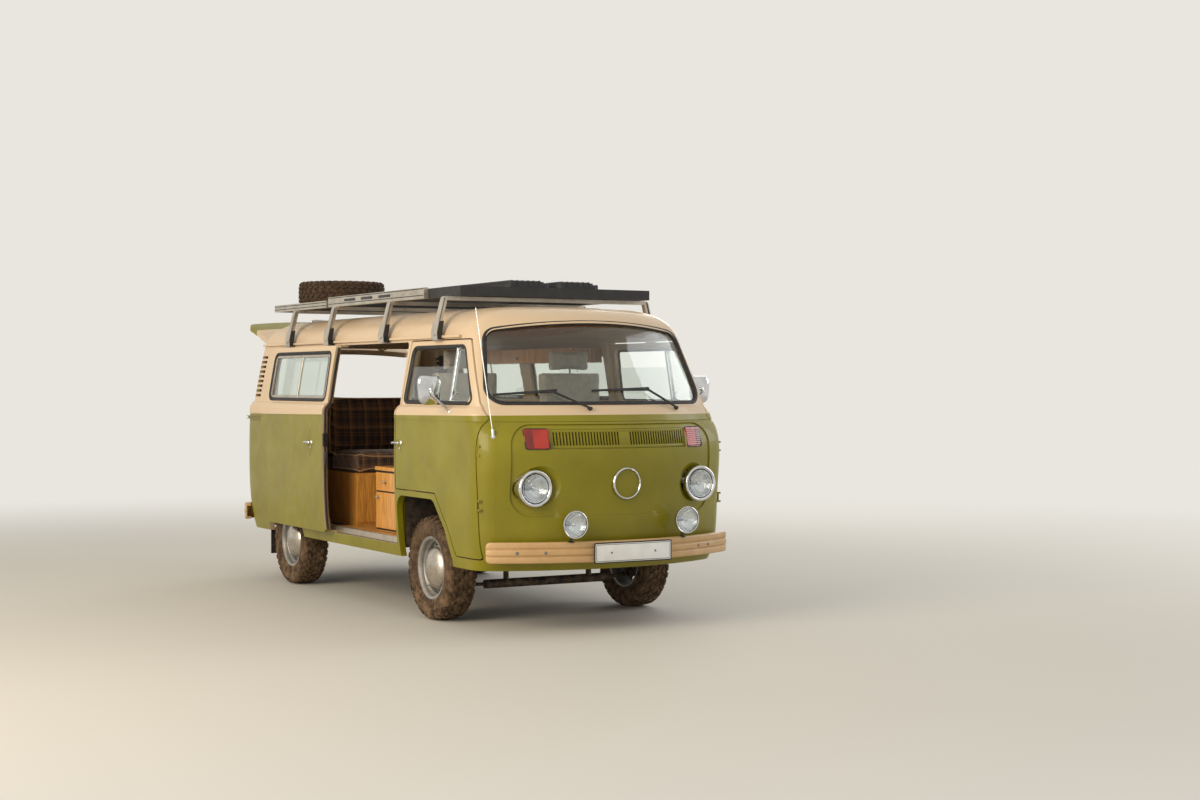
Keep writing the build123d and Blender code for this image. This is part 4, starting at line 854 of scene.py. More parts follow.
class Skin:
    """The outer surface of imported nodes, on which fine pieces are laid."""

    def __init__(self, *nodes: str) -> None:
        """Joins the nodes' faces in one search tree."""
        points: list[Vector] = []
        faces: list[tuple[int, ...]] = []
        for name in nodes:
            mesh = frame["nodes"][name].data
            base = len(points)
            points.extend(v.co.copy() for v in mesh.vertices)
            faces.extend(tuple(base + i for i in p.vertices) for p in mesh.polygons)
        self.tree = BVHTree.FromPolygons(points, faces)

    def touch(self, start: Point, way: Point) -> Contact:
        """First place that a ray meets.

        Args:
            start: Where the ray starts.
            way: Its direction.

        Returns:
            The place and the normal that looks back along the ray.
        """
        direction = Vector(way).normalized()
        place, normal, _, _ = self.tree.ray_cast(at(*start), direction)
        if place is None:
            raise ValueError(f"nothing to touch from {tuple(start)}")
        if normal.dot(direction) > 0:
            normal = -normal
        return back(place), normal

    def before(self, y: float, z: float) -> Contact:
        """Like touch, with a ray that comes level from the front."""
        return self.touch((2500, y, z), REARWARD)

    def behind(self, y: float, z: float) -> Contact:
        """Like touch, with a ray that comes level from the rear."""
        return self.touch((-2600, y, z), AHEAD)

    def beside(self, sign: int, x: float, z: float) -> Contact:
        """Like touch, with a ray that comes level from the left (1) or right (-1)."""
        return self.touch((x, sign * 1400, z), (0, -sign, 0))

    def near(self, start: Point, way: Point, aim: Point) -> Contact:
        """Like touch, but steps towards a place until something is met.

        Args:
            start: Where the first ray starts.
            way: The rays' direction.
            aim: Place towards which their start moves.

        Returns:
            The place and the normal that looks back along the ray.
        """
        origin, goal = Vector(start), Vector(aim)
        for step in range(20):
            try:
                return self.touch(origin.lerp(goal, step / 20), way)
            except ValueError:
                continue
        raise ValueError(f"nothing to touch near {tuple(start)}")


def islands(parts: Iterable, beside: Callable) -> list[list]:
    """Groups of touching vertices or faces, in a fixed order.

    Args:
        parts: All of the vertices or faces.
        beside: Gives the ones that touch one of them.

    Returns:
        The groups.
    """
    left, groups = dict.fromkeys(parts), []
    while left:
        group = [left.popitem()[0]]
        for part in group:
            for other in beside(part):
                if other in left:
                    del left[other]
                    group.append(other)
        groups.append(group)
    return groups


def pane_edges(node: str, outward: Callable[[Vector], Vector]) -> list[list[Contact]]:
    """Edges of each pane's outer face.

    Args:
        node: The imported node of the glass.
        outward: Gives the outward way from a pane's middle.

    Returns:
        For each pane, its edge's places and normals.
    """
    work = bmesh.new()
    work.from_mesh(frame["nodes"][node].data)
    bmesh.ops.remove_doubles(work, verts=work.verts, dist=1e-5)
    work.faces.ensure_lookup_table()
    work.normal_update()
    loops = []
    for island in islands(work.faces, lambda f: [o for e in f.edges for o in e.link_faces]):
        middle = sum((f.calc_center_median() for f in island), Vector()) / len(island)
        way = outward(back(middle))
        seed = max(island, key=lambda f: f.normal.dot(way) * f.calc_area())
        region, queue = {seed: None}, [seed]
        for face in queue:
            for other in (o for e in face.edges for o in e.link_faces):
                if other not in region and other.normal.dot(face.normal) > 0.88:
                    region[other] = None
                    queue.append(other)
        links: dict = {}
        for face in region:
            for edge in face.edges:
                if sum(1 for f in edge.link_faces if f in region) == 1:
                    a, b = edge.verts
                    links.setdefault(a, []).append(b)
                    links.setdefault(b, []).append(a)
        start = next(iter(links))
        chain, last = [start], None
        while True:
            here = chain[-1]
            steps = [v for v in links[here] if v is not last]
            if not steps or steps[0] is start:
                break
            last = here
            chain.append(steps[0])
        path = []
        for vert in chain:
            faces = [f for f in vert.link_faces if f in region]
            normal = sum((f.normal for f in faces), Vector()).normalized()
            path.append((back(vert.co), normal))
        loops.append(evened(path, 9.0))
    work.free()
    return loops


def evened(path: Sequence[Contact], step: float) -> list[Contact]:
    """Spaces a closed path evenly and eases its corners.

    Args:
        path: Places with normals.
        step: The new spacing.

    Returns:
        The new path.
    """
    lengths = [0.0]
    for index in range(len(path)):
        span = path[(index + 1) % len(path)][0] - path[index][0]
        lengths.append(lengths[-1] + span.length)
    count = max(12, round(lengths[-1] / step))
    result, spot = [], 0
    for index in range(count):
        goal = lengths[-1] * index / count
        while lengths[spot + 1] < goal:
            spot += 1
        share = (goal - lengths[spot]) / max(lengths[spot + 1] - lengths[spot], 1e-6)
        (p, n), (q, m) = path[spot], path[(spot + 1) % len(path)]
        result.append((p.lerp(q, share), n.lerp(m, share).normalized()))
    for _ in range(2):
        result = [
            ((result[i - 1][0] + p * 2 + result[(i + 1) % count][0]) / 4,
             (result[i - 1][1] + n * 2 + result[(i + 1) % count][1]).normalized())
            for i, (p, n) in enumerate(result)
        ]
    return result


# Sub-assemblies

@dataclass
class Studio:
    """Pale floor, soft lights, and the camera at the photograph's place."""

    eye: Triple = (11595.0, -5588.0, 1482.0)
    yaw: float = 149.87
    pitch: float = -0.56
    lens: float = 54.95
    backdrop: str = "#E9E6DF"
    floor: str = "#C9C4B8"

    def build(self) -> None:
        """Makes the camera, lights, world and floor."""
        scene = bpy.context.scene
        scene.view_settings.view_transform = "Standard"
        camera = bpy.data.cameras.new("camera")
        camera.lens, camera.sensor_width = self.lens, 36.0
        camera.clip_end = 200.0
        holder = linked("camera", camera)
        turn, tilt = math.radians(self.yaw), math.radians(self.pitch)
        way = Vector((math.cos(turn) * math.cos(tilt), math.sin(turn) * math.cos(tilt),
                      math.sin(tilt)))
        holder.location = at(*self.eye)
        holder.rotation_mode = "QUATERNION"
        holder.rotation_quaternion = way.to_track_quat("-Z", "Y")
        scene.camera = holder
        self.light("key", (3600, -9000, 4600), 6.0, 760.0, "#FFF1DC")
        self.light("fill", (3200, 9500, 5200), 6.0, 260.0, "#F4F7FF")
        self.light("rear", (-7600, 8200, 5200), 5.0, 260.0, "#FFFFFF")
        self.world()
        self.ground()

    def light(self, name: str, place: Point, size: float, power: float, colour: str) -> None:
        """Adds one soft lamp aimed at the van.

        Args:
            name: The lamp's name.
            place: Where it hangs.
            size: Side of its square, in metres.
            power: Its power in watts.
            colour: Its sRGB colour.
        """
        lamp = bpy.data.lights.new(name, "AREA")
        lamp.size, lamp.energy, lamp.color = size, power, linear(colour)[:3]
        holder = linked(name, lamp)
        holder.location = at(*place)
        holder.rotation_mode = "QUATERNION"
        holder.rotation_quaternion = (at(0, 0, 900) - at(*place)).to_track_quat("-Z", "Y")

    def world(self) -> None:
        """Soft light all round, and the plain backdrop where it is seen."""
        world = bpy.data.worlds.new("studio")
        bpy.context.scene.world = world
        tree = cleared(world)
        path = add_node(tree, "LightPath")
        seen = path.outputs["Is Camera Ray"]
        for name in ("Is Glossy Ray", "Is Transmission Ray"):
            seen = add_node(tree, "Math", {"operation": "MAXIMUM"},
                            {0: seen, 1: path.outputs[name]}).outputs[0]
        soft = add_node(tree, "Background", {0: linear("#FFFFFF"), 1: 0.62})
        plain = add_node(tree, "Background", {0: linear(self.backdrop), 1: 1.0})
        mix = add_node(tree, "MixShader", None, {0: seen, 1: soft, 2: plain})
        add_node(tree, "OutputWorld", None, {0: mix})

    def ground(self) -> None:
        """The floor, which fades into the backdrop far from the van."""
        mesh = bpy.data.meshes.new("floor")
        mesh.from_pydata([(-90, -90, 0), (90, -90, 0), (90, 90, 0), (-90, 90, 0)], [],
                         [(0, 1, 2, 3)])
        thing = linked("floor", mesh)
        material = bpy.data.materials.new("studio_floor")
        tree = cleared(material)
        place = add_node(tree, "TexCoord").outputs["Object"]
        reach = add_node(tree, "VectorMath", {"operation": "LENGTH"}, {0: place})
        far = add_node(tree, "MapRange",
                       {"interpolation_type": "SMOOTHSTEP", 1: 4.0, 2: 12.0},
                       {0: reach.outputs["Value"]})
        matt = add_node(tree, "BsdfPrincipled",
                        {"Base Color": linear(self.floor), "Roughness": 0.85})
        glow = add_node(tree, "Emission", {0: linear(self.backdrop), 1: 1.0})
        mix = add_node(tree, "MixShader", None, {0: far, 1: matt, 2: glow})
        add_node(tree, "OutputMaterial", None, {"Surface": mix})
        mesh.materials.append(material)


@dataclass
class RoadWheel:
    """Chunky tyre on a slotted steel rim with a domed cap."""

    body: Body
    place: Vector
    outward: Vector
    name: str
    radius: float = 324.6
    tread: float = 325.0
    half: float = 94.5
    pitches: int = 36
    slots: int = 16

    def spoke(self, along: float, radius: float, arc: float) -> Vector:
        """A point of the wheel.

        Args:
            along: How far it lies outwards along the axle.
            radius: Its distance from the axle.
            arc: Its way round the wheel, in millimetres of the tread.

        Returns:
            The point.
        """
        way = self.outward.normalized()
        across = way.orthogonal().normalized()
        angle = arc / self.tread
        arm = across * math.cos(angle) + way.cross(across) * math.sin(angle)
        return self.place + way * along + arm * radius

    def block(self, shape: Shape, outline: Flat) -> None:
        """Adds one tread block.

        Args:
            shape: The tyre's shape.
            outline: Its (across, round) outline.
        """
        middle = sum((Vector(p) for p in outline), Vector((0, 0))) / len(outline)
        rows = []
        for radius, below, size in ((311.0, 1.4, 1.06), (321.5, 1.4, 1.0),
                                    (self.radius, 0.0, 0.92)):
            row = []
            for point in outline:
                spot = middle + (Vector(point) - middle) * size
                crown = self.radius - 4.5 * (abs(spot.x) / 85.0) ** 2.4
                row.append(self.spoke(spot.x, min(radius, crown - below), spot.y))
            rows.append(row)
        shape.grid(rows, ends=True)

    def lug(self, shape: Shape, side: int, start: float, foot: float) -> None:
        """Adds one shoulder lug that runs down on the sidewall.

        Args:
            shape: The tyre's shape.
            side: Which shoulder.
            start: Where round the tyre it starts.
            foot: Radius at which it ends.
        """
        edge = self.half
        section = [(64, 309), (65.5, 320.8), (77, 319.2), (86, 313.5), (edge - 1.6, 303),
                   (edge, foot + 4), (edge - 1.5, foot), (88, foot + 2), (80, 306)]
        rows = [
            [self.spoke(side * a, r, start + shift) for a, r in section]
            for shift in (0.0, 10.0, 22.0, 33.0)
        ]
        shape.grid(rows, ends=True)

    def tyre(self, stands_for: str) -> None:
        """Builds the carcass and its tread.

        Args:
            stands_for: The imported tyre.
        """
        half = [(180, 66), (190, 71), (200, 78.5), (206, 81.5), (210, 82), (214, 85.5),
                (219, 86.5), (221, 88.8), (226, 90), (238, 91.6), (240, 93.8), (243, 93.8),
                (245, 92), (256, 92.2), (260, 94.4), (268, 94.4), (271, 92.0), (280, 91.8),
                (282, 93.4), (285, 93.2), (287, 91.2), (300, 88.6), (307, 84), (311, 76),
                (313, 62), (315.5, 30)]
        profile = half + [(r, -a) for r, a in reversed(half)]
        shape = Shape().lathe(profile, self.place, self.outward, 144, loop=True)
        pitch = math.tau * self.tread / self.pitches
        for index in range(self.pitches):
            start = index * pitch
            for side, offset in ((1, 0.0), (-1, 0.5)):
                here = start + pitch * offset
                rib = [(3, 6), (17, 0), (31, 8), (31, 34), (20, 31), (14, 46), (3, 42)]
                self.block(shape, [(side * a, here + v) for a, v in rib])
                mid = [(37, 2), (58, 9), (58, 36), (50, 42), (37, 30)]
                self.block(shape, [(side * a, here + v + pitch * 0.3) for a, v in mid])
                foot = 293.0 if index % 2 else 300.0
                self.lug(shape, side, here + pitch * 0.15, foot)
        piece(f"tyre_{self.name}_treaded", shape, TYRE_RUBBER, 28,
              stands_for=[stands_for], body=self.body)

    def rim(self, stands_for: str) -> None:
        """Builds the barrel, slotted dish, drum, valve and hub cap.

        Args:
            stands_for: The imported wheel.
        """
        barrel = [(196, 76), (197.5, 74), (196.5, 71.5), (190, 69), (181, 68), (178.6, 62),
                  (178.4, 44), (168, 32), (168, -20), (178.4, -40), (178.6, -62), (181, -68),
                  (190, -69), (196.5, -71.5), (197.5, -74), (196, -76), (188, -75),
                  (180, -71), (174.5, -62), (174, -40), (163.5, -20), (163.5, 30),
                  (174, 46), (174.5, 62), (180, 71), (188, 75)]
        shape = Shape().lathe(barrel, self.place, self.outward, 96, loop=True)
        valve = self.spoke(46, 152, 40) - self.place
        stem = self.outward.normalized()
        shape.lathe([(4, -18), (4, 6), (3, 8), (3, 14), (0, 15)], self.place + valve, stem, 10)
        piece(f"rim_{self.name}", shape, SILVER_STEEL, 30, stands_for=[stands_for], body=self.body)
        stations = [(164.5, 8), (161, 14), (155, 19), (147, 24), (139, 29), (131, 34),
                    (122, 37), (112, 36), (103, 33), (60, 32)]
        steps = self.slots * 6
        disc, keep = Shape().lathe(stations, self.place, self.outward, steps), []
        for face in disc.faces[:-2]:
            row, spots = min(face) // steps, [i % steps for i in face]
            spot = steps - 1 if min(spots) == 0 and max(spots) == steps - 1 else min(spots)
            if row not in (2, 3) or spot % 6 not in (1, 2, 3):
                keep.append(face)
        disc.faces = keep
        dish = piece(f"rim_dish_{self.name}", disc, SILVER_STEEL, 60, body=self.body)
        solid = dish.modifiers.new("steel", "SOLIDIFY")
        solid.thickness, solid.offset = 0.0035, -1.0
        layer = dish.modifiers.new("smooth", "SUBSURF")
        layer.levels = layer.render_levels = 1
        drum = Shape().lathe(
            [(16, -38.5), (118, -38.5), (126, -34), (128, -20), (128, 0), (122, 6), (60, 10),
             (58, 30), (16, 30)], self.place, self.outward, 64, loop=True)
        piece(f"brake_drum_{self.name}", drum, CHASSIS_BLACK, body=self.body)
        cap = Shape().lathe(
            [(0, 90.5), (20, 90.1), (36, 88.6), (44, 87.0), (48, 84.6), (58, 83.6), (76, 80),
             (94, 74), (108, 67), (119, 58.5), (126, 50), (130, 42.5), (131, 37.5),
             (129.5, 34), (122, 33.4), (0, 33)], self.place, self.outward, 96)
        piece(f"hub_cap_{self.name}", cap, DUSTY_CHROME, 40, body=self.body)

    def build(self) -> None:
        """Builds the whole wheel."""
        self.tyre(f"tyre_{self.name}" if self.name != "spare" else "spare_tyre")
        self.rim(f"wheel_{self.name}" if self.name != "spare" else "spare_wheel")

    @classmethod
    def fleet(cls) -> list["RoadWheel"]:
        """The four road wheels and the spare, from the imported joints."""
        wheels = []
        for end in ("front", "rear"):
            for sign, side in SIDES:
                joint = JOINTS[f"spin_{end}_{side}"]
                wheels.append(cls(Body(f"wheel_{end}_{side}"), back(Vector(joint["pos_m"])),
                                  Vector(joint["axis"]) * sign, f"{end}_{side}"))
        low, high = (Vector(corner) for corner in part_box("spare_tyre"))
        wheels.append(cls(Body.ROOT, back((low + high) / 2), Vector(UP), "spare"))
        return wheels


@dataclass
class Glazing:
    """Rubber seals, frames and the half-open cab windows."""

    seal: Outline = (
        (-15, 0.2), (-14, 5), (-6, 12.5), (2, 16.5), (9, 16), (12.5, 12.4), (0.4, 12.4),
        (0.4, 0.2))
    slider: Outline = ((-30, 0.2), (-30, 7), (-28, 8.5), (-14, 8.5), (-12, 7), (-12, 0.2))
    window: Outline = ((890, 1356), (1855, 1356), (1660, 1700), (915, 1700))
    vent: Outline = ((1557, 1363), (1838, 1363), (1652, 1693), (1557, 1693))

    def build(self) -> None:
        """Seals every pane and frames the ones that open."""
        dress(FLOAT_GLASS, "windscreen", "side_windows", "tailgate_window",
              "door_window_left", "door_window_right")
        ahead, up = Vector((1, 0, 0.4)), Vector((0.25, 0, 1))
        shape = Shape()
        for loop in pane_edges("windscreen", lambda c: ahead):
            shape.sweep(loop, self.seal)
        piece("windscreen_seal", shape, EPDM, 50)
        shape, frames = Shape(), Shape()
        for loop in pane_edges("side_windows", lambda c: Vector((0, c.y, 0)).normalized()):
            shape.sweep(loop, self.seal)
            if max(p.x for p, _ in loop) > -500 or min(p.x for p, _ in loop) > -1500:
                frames.sweep(loop, self.slider)
                self.divider(frames, loop)
        piece("side_window_seals", shape, EPDM, 50)
        piece("side_window_frames", frames, ALUMINIUM, 40)
        shape = Shape()
        for loop in pane_edges("tailgate_window", lambda c: up):
            shape.sweep(loop, self.seal)
        piece("tailgate_seal", shape, EPDM, 50, body=Body.TAILGATE)
        for sign, name in SIDES:
            self.cab_window(sign, name)

    def divider(self, shape: Shape, loop: Sequence[Contact]) -> None:
        """Adds the upright between the fixed and the sliding pane.

        Args:
            shape: The frames' shape.
            loop: The pane's edge.
        """
        middle = sum(p.x for p, _ in loop) / len(loop)
        near = sorted((pair for pair in loop if abs(pair[0].x - middle) < 7),
                      key=lambda pair: pair[0].z)
        shape.sweep([near[0], near[-1]],
                    [(-9, 0.2), (-9, 6), (-7, 8), (7, 8), (9, 6), (9, 0.2)], False)

    def cab_window(self, sign: int, name: str) -> None:
        """Seals one cab window and frames its quarter light.

        Args:
            sign: 1 for the left side and -1 for the right.
            name: The side's name.
        """
        body = Body(f"front_door_{name}")
        skin = Skin(f"front_door_{name}")
        spread = [
            (x + math.copysign(9, x - 1380), z + math.copysign(9, z - 1528))
            for x, z in self.window
        ]
        path = []
        for (x, z), (x2, z2) in zip(rounded(self.window, 46, 8), rounded(spread, 50, 8)):
            hit, normal = skin.beside(sign, x2, z2)
            path.append((Vector((x, hit.y, z)), normal))
        path = evened(path, 9.0)
        shape = Shape().sweep(path, [(s, h - 12) for s, h in self.seal])
        piece(f"cab_window_seal_{name}", shape, EPDM, 50, body=body)
        glass = Skin(f"door_window_{name}")
        chrome = Shape()
        middle = (1640.0, sign * 1200, 1528.0)
        loop = []
        for x, z in rounded(self.vent, 34, 6):
            hit, normal = glass.near((x, sign * 1200, z), (0, -sign, 0), middle)
            loop.append((Vector((x, hit.y, z)), normal))
        chrome.sweep(evened(loop, 9.0), [(-7, 0.1), (-7, 5), (-4, 7.5), (3, 7.5), (6, 5),
                                         (6, 0.1)])
        ends = []
        for z in (1364.0, 1692.0):
            hit, normal = glass.near((1560.0, sign * 1200, z), (0, -sign, 0), middle)
            ends.append((Vector((1545.0, hit.y, z)), normal))
        chrome.sweep(ends, [(-8.6, -19), (-8.6, 6), (-6, 8), (6, 8), (8.6, 6), (8.6, -19)],
                     False)
        hit, normal = glass.beside(sign, 1590.0, 1420.0)
        inside = hit - normal * 8
        chrome.lathe([(0, -22), (9, -20), (9, 0)], inside, normal, 20)
        piece(f"quarter_light_frame_{name}", chrome, CHROME, 40, body=body)


@dataclass
class Nose:
    """Lamps, emblem ring, grille screws and blank plate of the front."""

    lamp: Triple = (2213.0, 572.0, 862.0)
    lamp_radius: float = 84.0
    spot: Triple = (2352.0, 385.0, 655.0)
    spot_radius: float = 74.0
    ring: Triple = (2272.0, 0.0, 882.0)
    screws: Outline = ((459, 1148), (160, 1196), (160, 1100), (12, 1148))
    slots: int = 22
    slot_first: float = 30.0
    slot_pitch: float = 19.0
    slot_width: float = 10.8
    wiper_places: tuple[tuple[Pair, Pair, Pair, Pair], ...] = (
        ((-176, 1322), (-374, 1415), (-345, 1428), (-700, 1402)),
        ((470, 1322), (270, 1425), (285, 1440), (-127, 1425)))

    def lens(self, shape: Shape, place: Point, radius: float, dome: float,
             pitch: float, flute: float) -> None:
        """Adds a clear disc with upright flutes, facing forwards.

        Args:
            shape: Gets the lens.
            place: Middle of its rim.
            radius: Its radius.
            dome: How far its middle bulges.
            pitch: Spacing of the flutes.
            flute: Their height.
        """
        centre, rows = Vector(place), []
        count, steps = round(radius * 8 / pitch), 12
        for column in range(count + 1):
            across = (radius - 0.2) * (2 * column / count - 1)
            tall = math.sqrt(radius ** 2 - across ** 2)
            front, rear = [], []
            for step in range(steps + 1):
                up = tall * (2 * step / steps - 1)
                bulge = dome * (1 - (across ** 2 + up ** 2) / radius ** 2)
                wave = flute * abs(math.sin(math.pi * across / pitch))
                front.append(centre + Vector((bulge + wave, across, up)))
                rear.append(centre + Vector((bulge - 3.5, across, up)))
            rows.append(front + rear[::-1])
        shape.grid(rows, ends=True)

    def lamps(self) -> None:
        """Builds headlamps and spot lamps: reflector, bulb and fluted glass."""
        mirrors, caps, glasses, shells, stalks = (Shape() for _ in range(5))
        for sign, _ in SIDES:
            x, y, z = self.lamp[0], self.lamp[1] * sign, self.lamp[2]
            mirrors.lathe([(0, -64), (15, -63), (34, -55), (54, -40), (70, -22), (79, -8),
                           (83, -7), (83, -11), (72, -28), (54, -46), (30, -62), (0, -69)],
                          (x, y, z), AHEAD, 64)
            caps.lathe([(0, -62), (9, -61), (9, -40), (14, -36), (15, -24), (10, -19),
                        (0, -18)], (x, y, z), AHEAD, 24)
            self.lens(glasses, (x - 4, y, z), self.lamp_radius, 4.5, 9.0, 1.3)
            x, y, z = self.spot[0], self.spot[1] * sign, self.spot[2]
            shells.lathe([(0, -78), (24, -77), (44, -68), (60, -53), (71, -35), (77, -18),
                          (78.5, -9), (81, -7), (82, -3), (81, 1), (78, 2.5), (75, 1),
                          (74.5, -6), (72, -10), (76, -18), (70, -35), (59, -51), (0, -74)],
                         (x, y, z), AHEAD, 64)
            mirrors.lathe([(0, -50), (13, -49), (32, -43), (52, -30), (66, -15), (73, -6),
                           (75, -8), (68, -19), (53, -34), (32, -47), (0, -54)],
                          (x, y, z), AHEAD, 64)
            caps.lathe([(0, -49), (8, -48), (8, -30), (12, -27), (12, -18), (8, -14),
                        (0, -13)], (x, y, z), AHEAD, 24)
            self.lens(glasses, (x - 3, y, z), self.spot_radius, 7.5, 12.0, 1.2)
            foot = (2293, y, 548.3)
            stalks.lathe([(0, 0), (19, 0), (19, 5), (13, 8), (9, 12), (9, 30), (13, 33),
                          (13, 42), (9, 46), (9, 58), (0, 58)], foot, UP, 24)
        piece("lamp_reflectors", mirrors, SILVERED)
        piece("bulb_shields", caps, CHROME)
        piece("lamp_lenses", glasses, LAMP_GLASS, 50, stands_for=["headlamp_lenses"])
        piece("spot_lamp_shells", shells, CHROME, stands_for=["spot_lamps"])
        piece("spot_lamp_stalks", stalks, BLACK_ABS_AND_SHADE)

    def bezels(self) -> None:
        """Builds the deep chrome rings round the headlamps."""
        shape = Shape()
        for sign, _ in SIDES:
            place = (self.lamp[0], self.lamp[1] * sign, self.lamp[2])
            shape.lathe([(107, -84), (109, -60), (110, -30), (110, -10), (108.5, -3), (105, 1.5),
                         (100, 3), (95, 1.5), (91, -2), (88, -6), (86.5, -9), (84, -12),
                         (84, -20), (98, -24), (103, -40), (103, -84)],
                        place, AHEAD, 96, loop=True)
        piece("headlamp_rings", shape, CHROME, 40, stands_for=["headlamp_bezels"])

    def grille(self) -> None:
        """Builds the air intake: a framed panel with upright slots, and a black sheet behind them
        that paints the shade inside the intake.
        """
        skin = Skin("air_grille")
        half, low, high = 470.0, 1091.5, 1204.5

        def face(y: float, z: float, out: float) -> Vector:
            """A place `out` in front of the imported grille."""
            inner = max(-half + 4, min(half - 4, y))
            foot, head = (skin.before(inner, height)[0] for height in (1096, 1200))
            share = (z - 1096) / 104
            return Vector((foot.x + (head.x - foot.x) * share + out, y, z))

        def bar(shape: Shape, y0: float, y1: float, z0: float, z1: float, steps: int) -> None:
            """Adds a bar with eased edges, bent in `steps` pieces."""
            rows = []
            for step in range(steps + 1):
                y = y0 + (y1 - y0) * step / steps
                rows.append([face(y, z0, -9), face(y, z0, 1.2), face(y, z0 + 1.5, 2.2),
                             face(y, z1 - 1.5, 2.2), face(y, z1, 1.2), face(y, z1, -9)])
            shape.grid(rows, ends=True)

        bars, dark = Shape(), Shape()
        bar(bars, -half, half, low, 1110.0, 60)
        bar(bars, -half, half, 1187.0, high, 60)
        for sign, _ in SIDES:
            bar(bars, sign * 447, sign * half, 1108, 1189, 2)
            for slot in range(self.slots):
                y = self.slot_first + slot * self.slot_pitch
                bar(bars, sign * y, sign * (y + self.slot_pitch - self.slot_width), 1108, 1189, 1)
        bar(bars, -self.slot_first, self.slot_first, 1108, 1189, 5)
        # A black sheet 10 to 13 mm behind the slots: painted shade of the intake.
        rows = []
        for step in range(41):
            y = (half - 4) * (2 * step / 40 - 1)
            rows.append([face(y, 1100, -10), face(y, 1197, -10), face(y, 1197, -13),
                         face(y, 1100, -13)])
        dark.grid(rows, ends=True)
        piece("grille_bars", bars, GREEN_ENAMEL, 40, stands_for=["air_grille"])
        piece("grille_painted_shade_back", dark, BLACK_ABS_AND_SHADE)
        screws = Shape()
        for sign, _ in SIDES:
            for y, z in self.screws:
                screws.bolt(face(sign * y, z, 1.8), AHEAD, 3.6, 2.0)
        piece("grille_screws", screws, STEEL_BOLT)

    def wipers(self) -> None:
        """Builds both wipers: pivot, sprung arm, bow and rubber blade."""
        skin, metal, rubber = Skin("windscreen"), Shape(), Shape()
        way = (-1, 0, -0.25)
        for pivot, elbow, inner, outer in self.wiper_places:
            def spot(place: Point, lift: float) -> Vector:
                """The place on the glass at (y, z), raised by `lift`."""
                rise, aim = 70.0, Vector((2500, 0, 1600))
                for _ in range(4):
                    hit, normal = skin.near(Vector((2500, place[0], place[1] + rise)), way, aim)
                    rise += place[1] - hit.z
                return hit + normal * lift
            root, _ = Skin("nose_panel").before(*pivot)
            metal.lathe([(0, -4), (13, -4), (13, 4), (10, 10), (10, 20), (7, 24), (0, 25)],
                        root, (1, 0, 0.25), 24)
            tip = spot(elbow, 24)
            start = root + Vector((17, 0, 4))
            metal.tube([start, start.lerp(tip, 0.35) + Vector((4, 0, 0)),
                        start.lerp(tip, 0.7) + Vector((3, 0, 0)), tip], 6.8, 10, steps=5)
            ends = (Vector(inner), Vector(outer))
            line = [spot(ends[0].lerp(ends[1], i / 12), 13) for i in range(13)]
            metal.tube([line[3] + Vector((3, 0, 0)), tip, line[9] + Vector((3, 0, 0))], 5.6, 8,
                       steps=5)
            metal.tube(line, 5.4, 8)
            path = [(p, Vector((1, 0, 0.25)).normalized()) for p in line]
            rubber.sweep(path, [(-7, 3), (7, 3), (5, -4), (1.5, -11), (-1.5, -11), (-5, -4)],
                         False)
        piece("wiper_arms", metal, POWDER_COAT, 40, stands_for=["wipers"])
        piece("wiper_rubbers", rubber, EPDM, 40)

    def emblem(self) -> None:
        """Builds the plain chrome ring around a green disc."""
        ring = Shape().lathe([(96, 2), (96, 15), (94, 20), (90, 23), (86, 22.5), (83, 19),
                              (82, 14), (82, 2)], self.ring, AHEAD, 96, loop=True)
        piece("emblem_ring", ring, CHROME, 40, stands_for=["nose_ring"])
        disc = Shape().lathe([(0, 13.5), (40, 13), (70, 11.5), (82.5, 10), (82.5, 2), (0, 2)],
                             self.ring, AHEAD, 96)
        piece("emblem_disc", disc, GREEN_ENAMEL)

    def turn_lenses(self) -> None:
        """Ridges the turn lamps and gives them a dark gasket."""
        skin, around = Skin("turn_lamps"), Skin("nose_panel", "turn_lamps")
        ridges, ends, gasket = Shape(), Shape(), Shape()
        for sign, _ in SIDES:
            for shape, y0, wide in ((ridges, 480, 84), (ends, 566, 40)):
                shape.cover(skin, (2500, sign * y0, 1095), (0, sign * wide, 0), (0, 0, 106),
                            (12, 54), REARWARD,
                            lambda u, v: 1.6 + 1.6 * abs(math.sin(9 * math.pi * v)))
            loop = [around.before(sign * y, z)
                    for y, z in rounded(corners(474, 611, 1089, 1207), 10, 4)]
            gasket.sweep(evened(loop, 8.0), [(-3, 0), (-3, 5), (2, 5), (2, 0)])
        piece("turn_lamp_ridges", ridges, AMBER_PMMA, 50)
        piece("turn_lamp_ends", ends, RED_PMMA, 50)
        piece("turn_lamp_gaskets", gasket, EPDM, 50)

    def build(self) -> None:
        """Builds everything on the nose."""
        self.lamps()
        self.bezels()
        self.emblem()
        self.turn_lenses()
        self.grille()
        self.wipers()
        plate(Body.ROOT, "front_plate", (2357, 0, 483), LEFT, UP)


